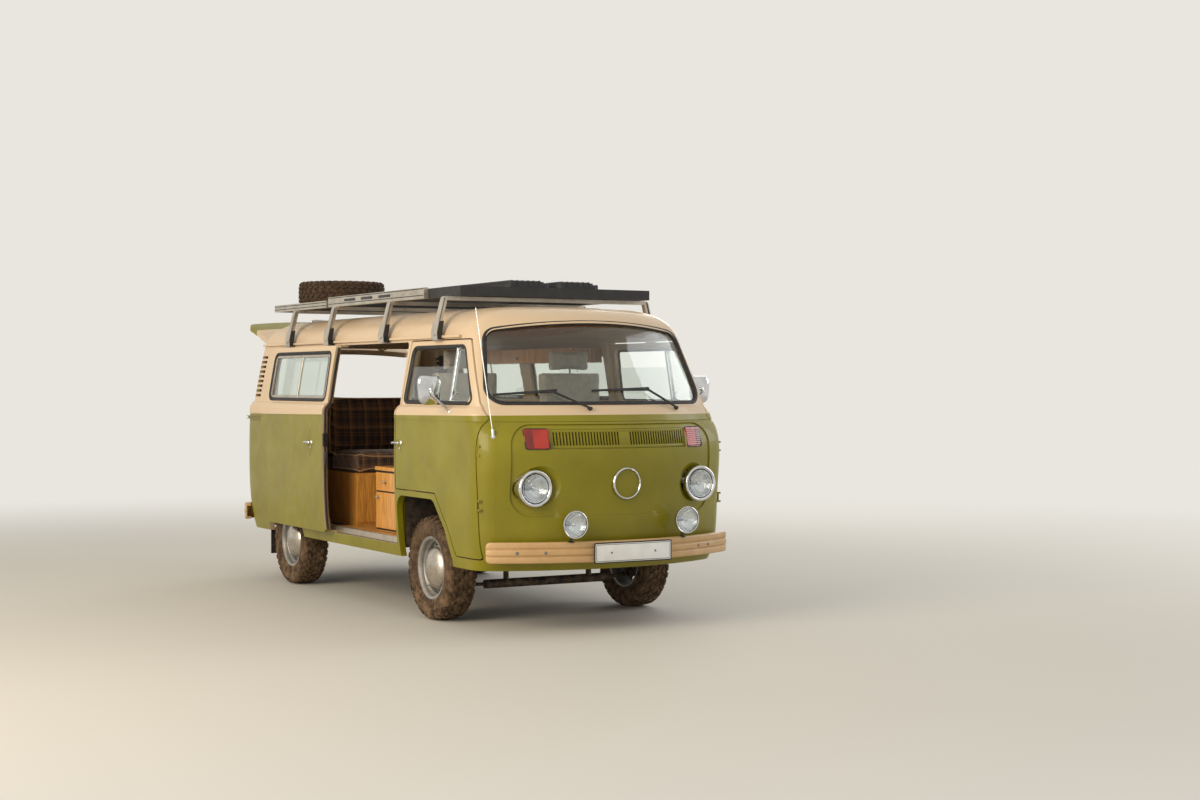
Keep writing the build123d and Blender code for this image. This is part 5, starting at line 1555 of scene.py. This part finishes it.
def plate(body: Body, name: str, place: Point, u: Point, v: Point) -> None:
    """Builds a blank number plate of 520 by 110 mm in its frame.

    Args:
        body: What it rides on.
        name: Start of its pieces' names.
        place: Middle of its back.
        u: Way along it.
        v: Way up it.
    """
    out = Vector(u).cross(Vector(v)).normalized()
    base = Vector(place)
    frame_shape = Shape().slab(oblong(266, 61, 12), base, u, v, 5.0, 1.6)
    piece(f"{name}_frame", frame_shape, BLACK_ABS_AND_SHADE, body=body)
    sheet = Shape().slab(oblong(259, 54, 10), base + out * 4, u, v, 2.4, 0.8)
    piece(f"{name}_sheet", sheet, PLATE_WHITE, body=body)
    du, dv = Vector(u).normalized(), Vector(v).normalized()
    line = [(base + out * 6.4 + du * a + dv * b, out) for a, b in oblong(253, 48.5, 9)]
    border = Shape().sweep(line, [(-1.4, -0.4), (-1.4, 0.5), (1.4, 0.5), (1.4, -0.4)])
    for side in (-1, 1):
        border.bolt(base + out * 6.4 + du * (side * 150), out, 4.5, 2.5)
    piece(f"{name}_border", border, BLACK_ABS_AND_SHADE, body=body)


@dataclass
class Bumper:
    """Pressed bumper with two grooves, rounded ends, bolts and brackets."""

    node: str
    sign: int
    hub: float
    sweep: float
    bolts: tuple[float, ...]
    bracket: tuple[float, float, float, float]
    centre_z: float = 490.0
    upper_half: Outline = (
        (48, -11), (53, -14), (53, -45), (57, -45), (58, -14), (57, -7), (54, -4), (50, -3),
        (30, -3), (26, -4), (23, -8.5), (18, -8.5), (15, -4), (12, -0.5), (8, 0))

    def build(self) -> None:
        """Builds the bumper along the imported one's outline."""
        skin, path, steps = Skin(self.node), [], 180
        section = [*self.upper_half, *((-s, h) for s, h in reversed(self.upper_half))]
        centre = Vector((self.hub, 0, self.centre_z))
        for step in range(steps + 1):
            angle = math.radians(self.sweep) * (2 * step / steps - 1)
            way = Vector((self.sign * math.cos(angle), math.sin(angle), 0))
            path.append(skin.touch(centre + way * 1500, -way))
        for _ in range(7):
            for near, far in ((0, 2), (-1, -3)):
                run_on = path[near][0] - path[far][0]
                turned = run_on.normalized() * 9.0 - Vector((self.sign * 0.5, 0, 0))
                item = (path[near][0] + turned, path[near][1])
                path.insert(0, item) if near == 0 else path.append(item)
        run, lengths = 0.0, [0.0]
        for (before, _), (after, _) in zip(path, path[1:]):
            run += (after - before).length
            lengths.append(run)
        rows = []
        for (place, normal), length in zip(path, lengths):
            end = min(length, run - length) / 34.0
            round_off = math.sqrt(max(0.0, 1 - (1 - min(end, 1.0)) ** 2))
            flat = Vector((normal.x, normal.y, 0)).normalized()
            rows.append([
                place + Vector((0, 0, s * (0.76 + 0.3 * round_off)))
                + flat * (h * (0.9 + 0.1 * round_off) - 6 * (1 - round_off))
                for s, h in section
            ])
        shape = Shape().grid(rows, ends=True)
        x0, x1, y0, y1 = self.bracket
        for side, _ in SIDES:
            shape.slab(corners(x0, x1, side * y0, side * y1), (0, 0, 464), AHEAD,
                       LEFT, 48.0, 3.0)
        piece(f"{self.node}_pressed", shape, SAND_ENAMEL, 45, stands_for=[self.node])
        heads = Shape()
        for y in self.bolts:
            hit, normal = skin.touch((self.sign * 3000, y, self.centre_z), (-self.sign, 0, 0))
            heads.bolt(hit, normal, 8.0, 4.5)
        piece(f"{self.node}_bolts", heads, STEEL_BOLT)


@dataclass
class Tail:
    """Lamp frames, lid plate, latch and tailgate handle."""

    lamp_y: Pair = (640.0, 745.0)
    lamp_z: Pair = (850.0, 1090.0)

    def build(self) -> None:
        """Builds everything on the tail."""
        skin, frames = Skin("rear_panel", "tail_lamps"), Shape()
        dividers = Shape()
        (y0, y1), (z0, z1) = self.lamp_y, self.lamp_z
        for sign, _ in SIDES:
            loop = [skin.behind(sign * y, z) for y, z in rounded(corners(y0, y1, z0, z1), 14)]
            frames.sweep(evened(loop, 8.0), [(-4, 0), (-4, 7), (-1, 9), (3, 8), (5, 4), (5, 0)])
            for z in (926.0, 1010.0):
                dividers.cover(skin, (-2600, sign * (y0 + 4), z), (0, sign * 97, 0),
                               (0, 0, 5), (8, 1), AHEAD, lambda u, v: 3.0)
        piece("tail_lamp_frames", frames, CHROME, 40)
        piece("tail_lamp_dividers", dividers, BLACK_ABS_AND_SHADE)
        lid = Skin("engine_lid")
        hit, _ = lid.behind(0, 790)
        plate(Body.LID, "rear_plate", (hit.x - 5, 0, 790), RIGHT, UP)
        hit, normal = lid.behind(0, 880)
        lamp = Shape().slab(rounded([(-70, -17), (70, -17), (60, 17), (-60, 17)], 10),
                            hit - Vector((2, 0, 0)), RIGHT, UP, 30.0, 9.0)
        piece("plate_lamp", lamp, BLACK_ABS_AND_SHADE, body=Body.LID)
        hit, normal = lid.behind(0, 662)
        latch = Shape().lathe([(0, -4), (24, -4), (24, 3), (20, 6), (13, 6), (12, 14), (0, 15)],
                              hit, normal, 32)
        piece("lid_latch", latch, CHROME, body=Body.LID)
        gate = Skin("tailgate")
        hit, normal = gate.touch((-2655, 0, 2300), (0, 0, -1))
        base, side = hit + normal, Vector(LEFT)
        bends = ((-70, 0), (-66, 16), (-40, 24), (40, 24), (66, 16), (70, 0))
        grip = Shape().tube([base + side * a + normal * b for a, b in bends], 7.0, 12, steps=6)
        grip.lathe([(0, -2), (12, -2), (12, 12), (8, 15), (0, 15)], base, normal, 20)
        piece("tailgate_handle", grip, CHROME, body=Body.TAILGATE)


@dataclass
class BodyShell:
    """Handles, black sheets that paint the shade behind the vents, trims, door cards and mirror
    glasses.
    """

    door_handle: Pair = (907.0, 1096.0)
    side_handle: Pair = (-459.0, 1063.0)

    def handle(self, name: str, body: Body, skin: Skin, spot: Pair, sign: int,
               scoop: Pair) -> None:
        """Builds one lever handle over its pressed scoop.

        Args:
            name: Start of its pieces' names.
            body: What it rides on.
            skin: What it sits on.
            spot: Its (x, z).
            sign: 1 for the left side and -1 for the right.
            scoop: Half width and half height of the scoop.
        """
        x, z = spot
        oval = []
        for step in range(48):
            angle = math.tau * step / 48
            oval.append(skin.beside(sign, x + scoop[0] * math.cos(angle),
                                    z + scoop[1] * math.sin(angle)))
        rim = Shape().sweep(oval, [(-6, -0.5), (-4, 1.4), (0, 2.6), (4, 1.4), (6, -0.5)])
        piece(f"{name}_scoop", rim, GREEN_ENAMEL, 60, body=body)
        lever = Shape()
        pivot, out = skin.beside(sign, x + 26, z)
        lever.lathe([(0, -3), (17, -3), (17, 2), (14, 6), (11, 8), (11, 22), (8, 26), (0, 27)],
                    pivot, out, 28)
        path = [pivot + out * 20, pivot + out * 25 + Vector((-18, 0, 1)),
                pivot + out * 27 + Vector((-48, 0, 2)), pivot + out * 25 + Vector((-76, 0, 0)),
                pivot + out * 21 + Vector((-88, 0, -2))]
        lever.tube(path, 7.5, 14, steps=6)
        lock, out = skin.beside(sign, x + 20, z - 34)
        lever.lathe([(0, -3), (10, -3), (10, 5), (7, 7), (0, 7)], lock, out, 20)
        piece(f"{name}_lever", lever, CHROME, body=body)

    def front_doors(self) -> None:
        """Handles, padded cards and mirror glass of both front doors."""
        for sign, name in SIDES:
            body, skin = Body(f"front_door_{name}"), Skin(f"front_door_{name}")
            self.handle(f"door_handle_{name}", body, skin, self.door_handle, sign, (34, 30))
            card = Shape().cover(
                skin, (905, sign * 300, 838), (935, 0, 0), (0, 0, 385), (78, 14),
                (0, sign, 0), lambda u, v: 4.0 + 3.0 * abs(math.sin(math.pi * 13 * u)), 1.0)
            piece(f"door_card_{name}", card, CARD_VINYL, 60, body=body)
            pull = Shape().tube(
                [(1180, sign * 800, 1130), (1185, sign * 765, 1130), (1260, sign * 748, 1130),
                 (1420, sign * 748, 1130), (1495, sign * 765, 1130), (1500, sign * 800, 1130)],
                11, 12, steps=6)
            piece(f"door_pull_{name}", pull, BLACK_VINYL, 60, body=body)
            self.mirror(sign, name, body)

    def mirror(self, sign: int, name: str, body: Body) -> None:
        """Builds a chrome mirror: domed shell, glass, ball and arm.

        Args:
            sign: 1 for the left side and -1 for the right.
            name: The side's name.
            body: What it rides on.
        """
        centre = Vector((1600, sign * 965, 1431))
        outline = rounded([(-66, -86), (66, -86), (79, 60), (60, 90), (-60, 90), (-79, 60)],
                          52, 8)
        rows = []
        for scale, forward in ((0.9, -12), (0.97, -15), (1.0, -13), (1.0, -7), (0.97, 1),
                               (0.88, 9), (0.72, 15), (0.5, 19), (0.25, 21.5), (0.06, 22)):
            rows.append([centre + Vector((forward, y * scale, z * scale)) for y, z in outline])
        shell = Shape().grid(rows, ends=True)
        ball = centre + Vector((20, 0, 6))
        shell.lathe([(0, -8), (13, -7), (16, 0), (13, 8), (7, 13), (0, 14)], ball, AHEAD, 24)
        foot = Vector((1616, sign * 842, 1302))
        shell.tube([foot, foot + Vector((8, sign * 30, 24)), ball + Vector((12, 0, -30)),
                    ball + Vector((8, 0, 0))], 6.5, 14, steps=8)
        shell.lathe([(0, -4), (20, -4), (20, 4), (15, 9), (9, 14), (0, 15)], foot,
                    (0.2, sign, 0.3), 28)
        piece(f"mirror_shell_{name}", shell, CHROME, 50, stands_for=[f"mirror_{name}"], body=body)
        glass = Shape().slab([(y * 0.88, -z * 0.88) for y, z in outline],
                             centre + Vector((-12.5, 0, 0)), LEFT, (0, 0, -1), 1.6, 0.8)
        piece(f"mirror_glass_{name}", glass, SILVERED, body=body)

    def side_door(self) -> None:
        """Handle, edge rubber, latch and grab handle of the open side door."""
        skin = Skin("sliding_door")
        self.handle("side_door_handle", Body.ROOT, skin, self.side_handle, -1, (23, 92))
        edge, trim = [], []
        for step in range(40):
            z = 470 + 1250 * step / 39
            hit, _ = skin.touch((-252, -1500, z), LEFT)
            edge.append((-231, hit.y + 20, z))
            trim.append((Vector((-234, hit.y + 31, z)), Vector(AHEAD)))
        rubber = Shape().tube(edge, 7.5, 12)
        piece("side_door_edge_rubber", rubber, EPDM, 60)
        strip = Shape().sweep(trim, [(-7, -0.5), (-7, 3), (-4, 4.5), (4, 4.5), (7, 3),
                                     (7, -0.5)], False)
        piece("side_door_edge_trim", strip, CARD_VINYL, 60)
        y = next(p[1] for p in edge if p[2] > 1060)
        latch = Shape().slab(oblong(16, 46, 6), (-232, y, 1085), LEFT, UP, 14.0, 3.0)
        latch.tube([(-232, y, 1012), (-206, y - 6, 1004), (-198, y - 8, 960),
                    (-206, y - 6, 908), (-232, y, 898)], 8.0, 12, steps=6)
        piece("side_door_latch", latch, BLACK_ABS_AND_SHADE)

    def vents(self) -> None:
        """Black sheets behind the air louvres: painted shade of the hollow behind them."""
        for sign, name in SIDES:
            rows = []
            for z in (1364, 1450, 1550, 1694):
                inner = 777.0 - (z - 1340) * 0.162
                rows.append([Vector((x, sign * y, z)) for x, y in (
                    (-1960, inner), (-1752, inner), (-1752, inner - 3), (-1960, inner - 3))])
            # The black sheet paints the shade behind the louvres.
            louvre_shade_sheet = Shape().grid(rows, ends=True)
            piece(f"vent_painted_shade_{name}", louvre_shade_sheet, BLACK_ABS_AND_SHADE)

    def build(self) -> None:
        """Builds all fittings of the shell."""
        self.front_doors()
        self.side_door()
        self.vents()


@dataclass
class Camping:
    """Oak floor, ceiling, cabinet fronts, sill strip and gauges."""

    plank: float = 92.0
    kitchen: tuple[float, float, float, float] = (110.0, 800.0, -672.0, -190.0)

    def floor(self) -> None:
        """Lays planks round the kitchen, and the bright sill strip."""
        shape = Shape()
        x0, x1, y0, y1 = self.kitchen
        y = -806.0
        while y < 800:
            far = min(y + self.plank - 2, 806.0)
            end = x0 - 3 if y < y1 and far > y0 else 834.0
            shape.slab(corners(-327.0, end, y, far), (0, 0, 480.2), AHEAD, LEFT, 6.0, 1.2)
            y += self.plank
        piece("floor_planks", shape, OAK_PLANK, 20)
        section = [(-782, 486.4), (-782, 489), (-809, 489), (-813, 487), (-814, 450),
                   (-811, 449), (-810.5, 484), (-807, 486.4)]
        rows = [[Vector((x, y, z)) for y, z in section] for x in (-400, 0, 400, 830)]
        piece("sill_strip", Shape().grid(rows, ends=True), ALUMINIUM, 20)

    def ceiling(self) -> None:
        """Covers the roof's inside with narrow boards."""
        boards = 13
        shape = Shape().cover(
            Skin("roof_panel"), (-1880, -590, 1560), (3330, 0, 0), (0, 1180, 0), (24, 104),
            UP, lambda u, v: 7.0 if (v * boards) % 1 > 0.12 else 2.5, 0.5)
        piece("ceiling_boards", shape, OAK_PLANK, 30)

    def panel(self, shape: Shape, knobs: Shape, low: Point, high: Point, u: Point,
              knob: Optional[Pair] = None) -> None:
        """Adds one door or drawer front.

        Args:
            shape: Gets the front.
            knobs: Gets its knob.
            low: Its lower corner on the cabinet's face.
            high: Its upper corner.
            u: Way along the face, so that u x Z points outwards.
            knob: Place of the knob as shares of width and height.
        """
        start, du = Vector(low), Vector(u)
        wide = (Vector(high) - start).dot(du)
        tall = high[2] - low[2]
        outline = rounded(corners(0, wide, 0, tall), 5, 3)
        shape.slab(outline, start, u, UP, 8.0, 1.8)
        if knob:
            out = du.cross(Vector(UP))
            place = start + du * wide * knob[0] + Vector((0, 0, tall * knob[1])) + out * 7
            knobs.lathe([(0, 0), (7, 0), (6, 8), (10, 12), (13, 17), (11, 22), (0, 24)],
                        place, out, 24)

    def cabinets(self) -> None:
        """Fronts and knobs of the kitchen, bench and locker, with black sheets behind the kitchen
        fronts that paint the shade in the gaps between them.
        """
        fronts, knobs, painted_gap_shade = Shape(), Shape(), Shape()
        x0, x1, y0, y1 = self.kitchen
        carcass = Shape().slab(corners(x0, x1, y0, y1), (0, 0, 480.3), AHEAD, LEFT, 409.0, 1.5)
        piece("kitchen_carcass", carcass, OAK, 20)
        # Black sheets 2 mm proud of the carcass, behind the fronts: painted shade in the gaps
        # between them.
        painted_gap_shade.slab(corners(x0 + 3, x1 - 3, 488, 886), (0, y0, 0), AHEAD, UP, 2.0, 0.5)
        painted_gap_shade.slab(corners(-y0 - 3, -y1 + 3, 488, 886), (x0, 0, 0), RIGHT, UP, 2.0, 0.5)
        for left, right in ((x0 + 8, 450.0), (458.0, x1 - 8)):
            for low, high, knob in ((500, 742, (0.14, 0.86)), (752, 874, (0.5, 0.5))):
                self.panel(fronts, knobs, (left, y0, low), (right, y0, high), AHEAD, knob)
        self.panel(fronts, knobs, (x0, y1 - 8, 500), (x0, y0 + 8, 874), RIGHT, (0.5, 0.8))
        fronts.slab(rounded(corners(x0 - 10, x1 + 8, y0 - 12, y1 + 8), 12), (0, 0, 889),
                    AHEAD, LEFT, 24.0, 3.0)
        for start in (-632, -208, 216):
            self.panel(fronts, knobs, (-330, start, 500), (-330, start + 416, 832), LEFT,
                       (0.5, 0.82))
        for start in (-852, -316, 220):
            self.panel(fronts, knobs, (start, 500, 1622), (start + 528, 500, 1708), AHEAD,
                       (0.5, 0.3))
        piece("cabinet_fronts", fronts, OAK, 20)
        piece("cabinet_knobs", knobs, ALUMINIUM)
        piece("cabinet_painted_gap_shade", painted_gap_shade, BLACK_ABS_AND_SHADE)

    def gauges(self) -> None:
        """Three dials in front of the driver and a glove box lid."""
        rims, faces = Shape(), Shape()
        for y, radius in ((272, 44), (370, 54), (468, 44)):
            rims.lathe([(radius, 0), (radius, 8), (radius - 3, 10), (radius - 6, 8),
                        (radius - 6, 0)], (1935, y, 1236), REARWARD, 48, loop=True)
            faces.lathe([(0, 0), (radius - 6.5, 0), (radius - 6.5, 3), (0, 3)],
                        (1935, y, 1236), REARWARD, 48)
            faces.slab(corners(-1.5, 1.5, -4, radius - 14),
                       (1931.5, y, 1236), (0, -1, 0.6), (0, 0.6, 1), 1.5, 0.4)
        piece("gauge_rims", rims, CHROME)
        piece("gauge_faces", faces, PLATE_WHITE)
        lid = Shape().slab(oblong(150, 45, 14), (1936, -400, 1225), RIGHT, UP, 7.0, 2.0)
        lid.lathe([(0, 0), (9, 0), (9, 6), (6, 8), (0, 8)], (1929, -400, 1250), REARWARD, 20)
        piece("glove_box_lid", lid, BLACK_VINYL)

    def build(self) -> None:
        """Fits out the inside."""
        self.floor()
        self.ceiling()
        self.cabinets()
        self.gauges()


@dataclass
class RoofRack:
    """Cleats on the traction boards, and the clamps' bolts and pads."""

    legs: tuple[float, ...] = (1298.0, 470.0, -500.0, -1260.0)
    boards: tuple[float, ...] = (-340.0, 20.0)

    def build(self) -> None:
        """Builds the rack's fine pieces."""
        skin, cleats = Skin("traction_boards"), Shape()
        for start in self.boards:
            for row in range(33):
                for column in range(8):
                    x, y = 284 + row * 34.0, start + 24 + column * 39.0
                    hit, normal = skin.touch((x, y, 2400), (0, 0, -1))
                    if hit.z < 2094 or normal.z < 0.9:
                        continue
                    cleats.lathe([(0, -2), (10, -2), (9, 4), (6.5, 9), (0, 9.5)], hit, UP, 8)
        piece("board_cleats", cleats, NYLON, 30)
        bolts, pads, feet, cheeks, legs, dark = (Shape() for _ in range(6))
        slope = Vector((0, -59, 224)).normalized()
        for x, (sign, _) in product(self.legs, SIDES):
            for shift in (-20, 20):
                bolts.bolt((x + shift, sign * 786, 1772), (0, sign, 0), 8.5, 7.0, 6)
            pads.slab(rounded(corners(x - 40, x + 40, -15, 24), 6), (0, sign * 765.5, 1755),
                      (sign, 0, 0), UP, -12.0, 2.0)
            for shape, half, grow in ((feet, 42.0, 0.0), (cheeks, 47.0, -3.0)):
                section = [(762 - grow, 1742 - grow), (795 + grow, 1742 - grow),
                           (798 + grow, 1790), (783 + grow, 1862 + grow),
                           (748 - grow, 1862 + grow), (758 - grow, 1790)]
                rows = [[Vector((x + side, sign * y, z)) for y, z in section]
                        for side in (-half, half)]
                shape.grid(rows, ends=True)
            up = Vector((0, sign * slope.y, slope.z))
            legs.slab(rounded(corners(-23, 23, -30, 222), 22, 6), (x, sign * 790, 1796),
                      AHEAD, up, -6.0 * sign, 1.0)
        piece("rack_bolts", bolts, STEEL_BOLT, 25)
        piece("rack_pads", pads, EPDM, 30)
        # Black strips on the side rails: painted shade in their grooves and slots.
        for low, high, level, tall in ((-1745, -712, 2027, 50), (-650, 955, 2032, 70)):
            for sign, _ in SIDES:
                for z in (level, level + tall - 28):
                    dark.slab(corners(low, high, 0, 5), (0, sign * 712.2, z), AHEAD,
                              UP, -1.6 * sign, 0.4)
        for x in (-360, -60, 240):
            for sign, _ in SIDES:
                dark.slab(rounded(corners(x, x + 190, 0, 17), 8), (0, sign * 712.2, 2045),
                          AHEAD, UP, -2.4 * sign, 0.5)
        piece("rack_leg_plates", legs, ALUMINIUM, 25)
        piece("rack_rail_groove_shade", dark, BLACK_ABS_AND_SHADE, 25)
        piece("rack_feet", feet, ALUMINIUM, 20)
        piece("rack_feet_cheeks", cheeks, POWDER_COAT, 20)
        nut = Shape().lathe([(0, -30), (45, -30), (45, -24), (14, -22), (14, 4), (26, 6),
                             (26, 14), (12, 18), (12, 34), (0, 36)],
                            (-1420, -300, 2160), UP, 32)
        piece("spare_clamp", nut, POWDER_COAT)


@dataclass
class Underside:
    """Silencer with its pipes behind the engine."""

    place: Triple = (-2022.0, 0.0, 335.0)

    def build(self) -> None:
        """Builds the exhaust."""
        x, _, z = self.place
        half = [(0, -262), (54, -262), (60, -258), (62, -250), (62, -120), (63.5, -118),
                (63.5, -112), (62, -110)]
        shape = Shape().lathe(half + [(r, -along) for r, along in reversed(half)], (x, 0, z),
                              LEFT, 48)
        shape.tube([(x, 190, z), (x - 10, 330, z + 2), (x - 40, 385, z), (x - 90, 395, z - 6),
                    (x - 150, 396, z - 12)], 17, 16, steps=6)
        for sign, _ in SIDES:
            shape.tube([(x + 20, sign * 150, z + 30), (x + 60, sign * 170, z + 60),
                        (x + 72, sign * 175, z + 62)], 19, 16, steps=5)
        piece("silencer", shape, RUSTY_STEEL, 35)


@dataclass
class Upholstery:
    """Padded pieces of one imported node, swollen as sewn covers are."""

    node: str
    finish: Finish
    voxel: float
    cap: float
    fill: float
    piping: bool = False

    def parts(self) -> list[bmesh.types.BMesh]:
        """The node's separate solids, in the row frame."""
        whole = bmesh.new()
        whole.from_mesh(frame["nodes"][self.node].data)
        bmesh.ops.remove_doubles(whole, verts=whole.verts, dist=1e-5)
        whole.verts.index_update()
        result = []
        for group in islands(whole.verts, lambda v: [e.other_vert(v) for e in v.link_edges]):
            indices, part = {v.index for v in group}, whole.copy()
            part.verts.ensure_lookup_table()
            spare = [v for v in part.verts if v.index not in indices]
            bmesh.ops.delete(part, geom=spare, context="VERTS")
            result.append(part)
        whole.free()
        result.sort(key=lambda p: min((v.co.y, v.co.z, v.co.x) for v in p.verts))
        return result

    @staticmethod
    def posts() -> None:
        """Builds the chrome posts between each front seat and its headrest."""
        shape = Shape()
        for sign, _ in SIDES:
            for shift in (-70, 70):
                y = sign * 385 + shift
                shape.tube([(886, y, 1500), (880, y, 1560), (876, y, 1612)], 6.5, 16, steps=3)
        piece("headrest_posts", shape, CHROME)

    def build(self) -> None:
        """Builds every padded piece."""
        for number, part in enumerate(self.parts(), 1):
            self.pad(f"{self.node}_pad_{number}", part)

    def pad(self, name: str, part: bmesh.types.BMesh) -> None:
        """Swells one pad, caps the swelling and rides it.

        Args:
            name: The pad's name.
            part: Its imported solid.
        """
        low = Vector([min(v.co[i] for v in part.verts) for i in range(3)])
        high = Vector([max(v.co[i] for v in part.verts) for i in range(3)])
        middle, size = (low + high) / 2, high - low
        for vert in part.verts:
            for i in range(3):
                vert.co[i] = middle[i] + (vert.co[i] - middle[i]) * (1 - 0.012 / size[i])
        mesh = bpy.data.meshes.new(name)
        part.to_mesh(mesh)
        part.free()
        thing = linked(name, mesh)
        remesh = thing.modifiers.new("voxels", "REMESH")
        remesh.mode, remesh.voxel_size = "VOXEL", self.voxel * MM
        self.apply(thing)
        self.swell(thing, low, high)
        thing.data.shade_smooth()
        layer = thing.modifiers.new("smooth", "SMOOTH")
        layer.factor, layer.iterations = 0.5, 2
        thing.data.materials.append(self.finish.material())
        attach(thing, Body.ROOT.value)
        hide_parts(self.node)
        log.info("%s: %d points", name, len(thing.data.vertices))
        if self.piping:
            self.cord(thing, name, low, high)

    def apply(self, thing: Thing) -> None:
        """Replaces a pad's mesh with what its modifiers make.

        Args:
            thing: The pad.
        """
        graph = bpy.context.evaluated_depsgraph_get()
        made = bpy.data.meshes.new_from_object(thing.evaluated_get(graph))
        thing.modifiers.clear()
        old, thing.data = thing.data, made
        bpy.data.meshes.remove(old)

    def swell(self, thing: Thing, low: Vector, high: Vector) -> None:
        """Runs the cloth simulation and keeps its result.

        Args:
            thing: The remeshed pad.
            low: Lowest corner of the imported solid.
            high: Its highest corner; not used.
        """
        start = [v.co.copy() for v in thing.data.vertices]
        cloth = thing.modifiers.new("swell", "CLOTH")
        settings = cloth.settings
        settings.quality = 4
        settings.use_pressure = True
        settings.uniform_pressure_force = 4.0
        settings.effector_weights.gravity = 0.0
        cloth.collision_settings.use_collision = False
        scene = bpy.context.scene
        for number in range(1, 21):
            scene.frame_set(number)
        graph = bpy.context.evaluated_depsgraph_get()
        grown = [v.co.copy() for v in thing.evaluated_get(graph).data.vertices]
        thing.modifiers.clear()
        scene.frame_set(1)
        for vert, before, after in zip(thing.data.vertices, start, grown):
            move = after - before
            if move.length > self.cap * MM:
                move = move.normalized() * self.cap * MM
            place = before + move
            place.z = max(place.z, low.z)
            vert.co = place
        thing.data.update()

    def cord(self, thing: Thing, name: str, low: Vector, high: Vector) -> None:
        """Sews piping round the pad's two long seams.

        Args:
            thing: The swollen pad.
            name: Its name.
            low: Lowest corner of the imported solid.
            high: Its highest corner.
        """
        tree = BVHTree.FromObject(thing, bpy.context.evaluated_depsgraph_get())
        middle, size = (low + high) / 2, high - low
        tall = size.z > size.x
        shape = Shape()
        for side in (-1, 1):
            loop = []
            for step in range(160):
                angle = math.tau * step / 160
                c, s = math.cos(angle), math.sin(angle)
                c = math.copysign(abs(c) ** 0.28, c)
                s = math.copysign(abs(s) ** 0.28, s)
                guess = middle.copy()
                guess.y += c * size.y / 2
                if tall:
                    guess.z += s * size.z / 2
                    guess.x += side * size.x * 0.36
                else:
                    guess.x += s * size.x / 2
                    guess.z += side * size.z * 0.36
                place, normal, _, _ = tree.find_nearest(guess)
                loop.append(back(place + normal * 0.001))
            shape.tube(loop, 4.5, 8, closed=True)
        piece(f"{name}_piping", shape, PIPING, 60)


def main() -> None:
    """Builds the van's looks in order."""
    logging.basicConfig(level=logging.INFO, format="%(message)s")
    Studio().build()
    dress(BODY_ENAMEL, "nose_panel", "side_panel_left", "side_panel_right", "rear_panel",
          "roof_panel", "front_door_left", "front_door_right", "sliding_door")
    dress(GATE_ENAMEL, "tailgate")
    dress(GREEN_ENAMEL, "engine_lid")
    dress(CHROME, "aerial")
    dress(AMBER_PMMA, "turn_lamps")
    dress(RED_PMMA, "tail_lamps")
    dress(ALUMINIUM, "rack_frame")
    dress(POWDER_COAT, "rack_platform")
    dress(NYLON, "traction_boards")
    dress(CAST_ALLOY, "engine")
    dress(CHASSIS_BLACK, "floor_pan", "front_axle", "rear_axle", "knuckle_left",
          "knuckle_right")
    dress(BLACK_VINYL, "dashboard")
    dress(BLACK_ABS_AND_SHADE, "steering_wheel", "steering_column")
    dress(EPDM, "mud_flaps")
    dress(OAK, "cabinets")
    Glazing().build()
    Nose().build()
    Bumper("front_bumper", 1, 1925.0, 75.0, (-686, -533, 520, 615),
           (2262.0, 2302.0, 300.0, 345.0)).build()
    Bumper("rear_bumper", -1, -1785.0, 75.0, (-640, -520, 520, 640),
           (-2112.0, -2070.0, 360.0, 405.0)).build()
    Tail().build()
    BodyShell().build()
    Camping().build()
    RoofRack().build()
    Underside().build()
    Upholstery("front_seats", SEAT_CLOTH, 9.0, 12.0, 0.6).build()
    Upholstery("rear_cushions", BENCH_TARTAN, 13.0, 20.0, 0.6, True).build()
    Upholstery.posts()
    for wheel in RoadWheel.fleet():
        wheel.build()


if __name__ == "__main__":
    main()
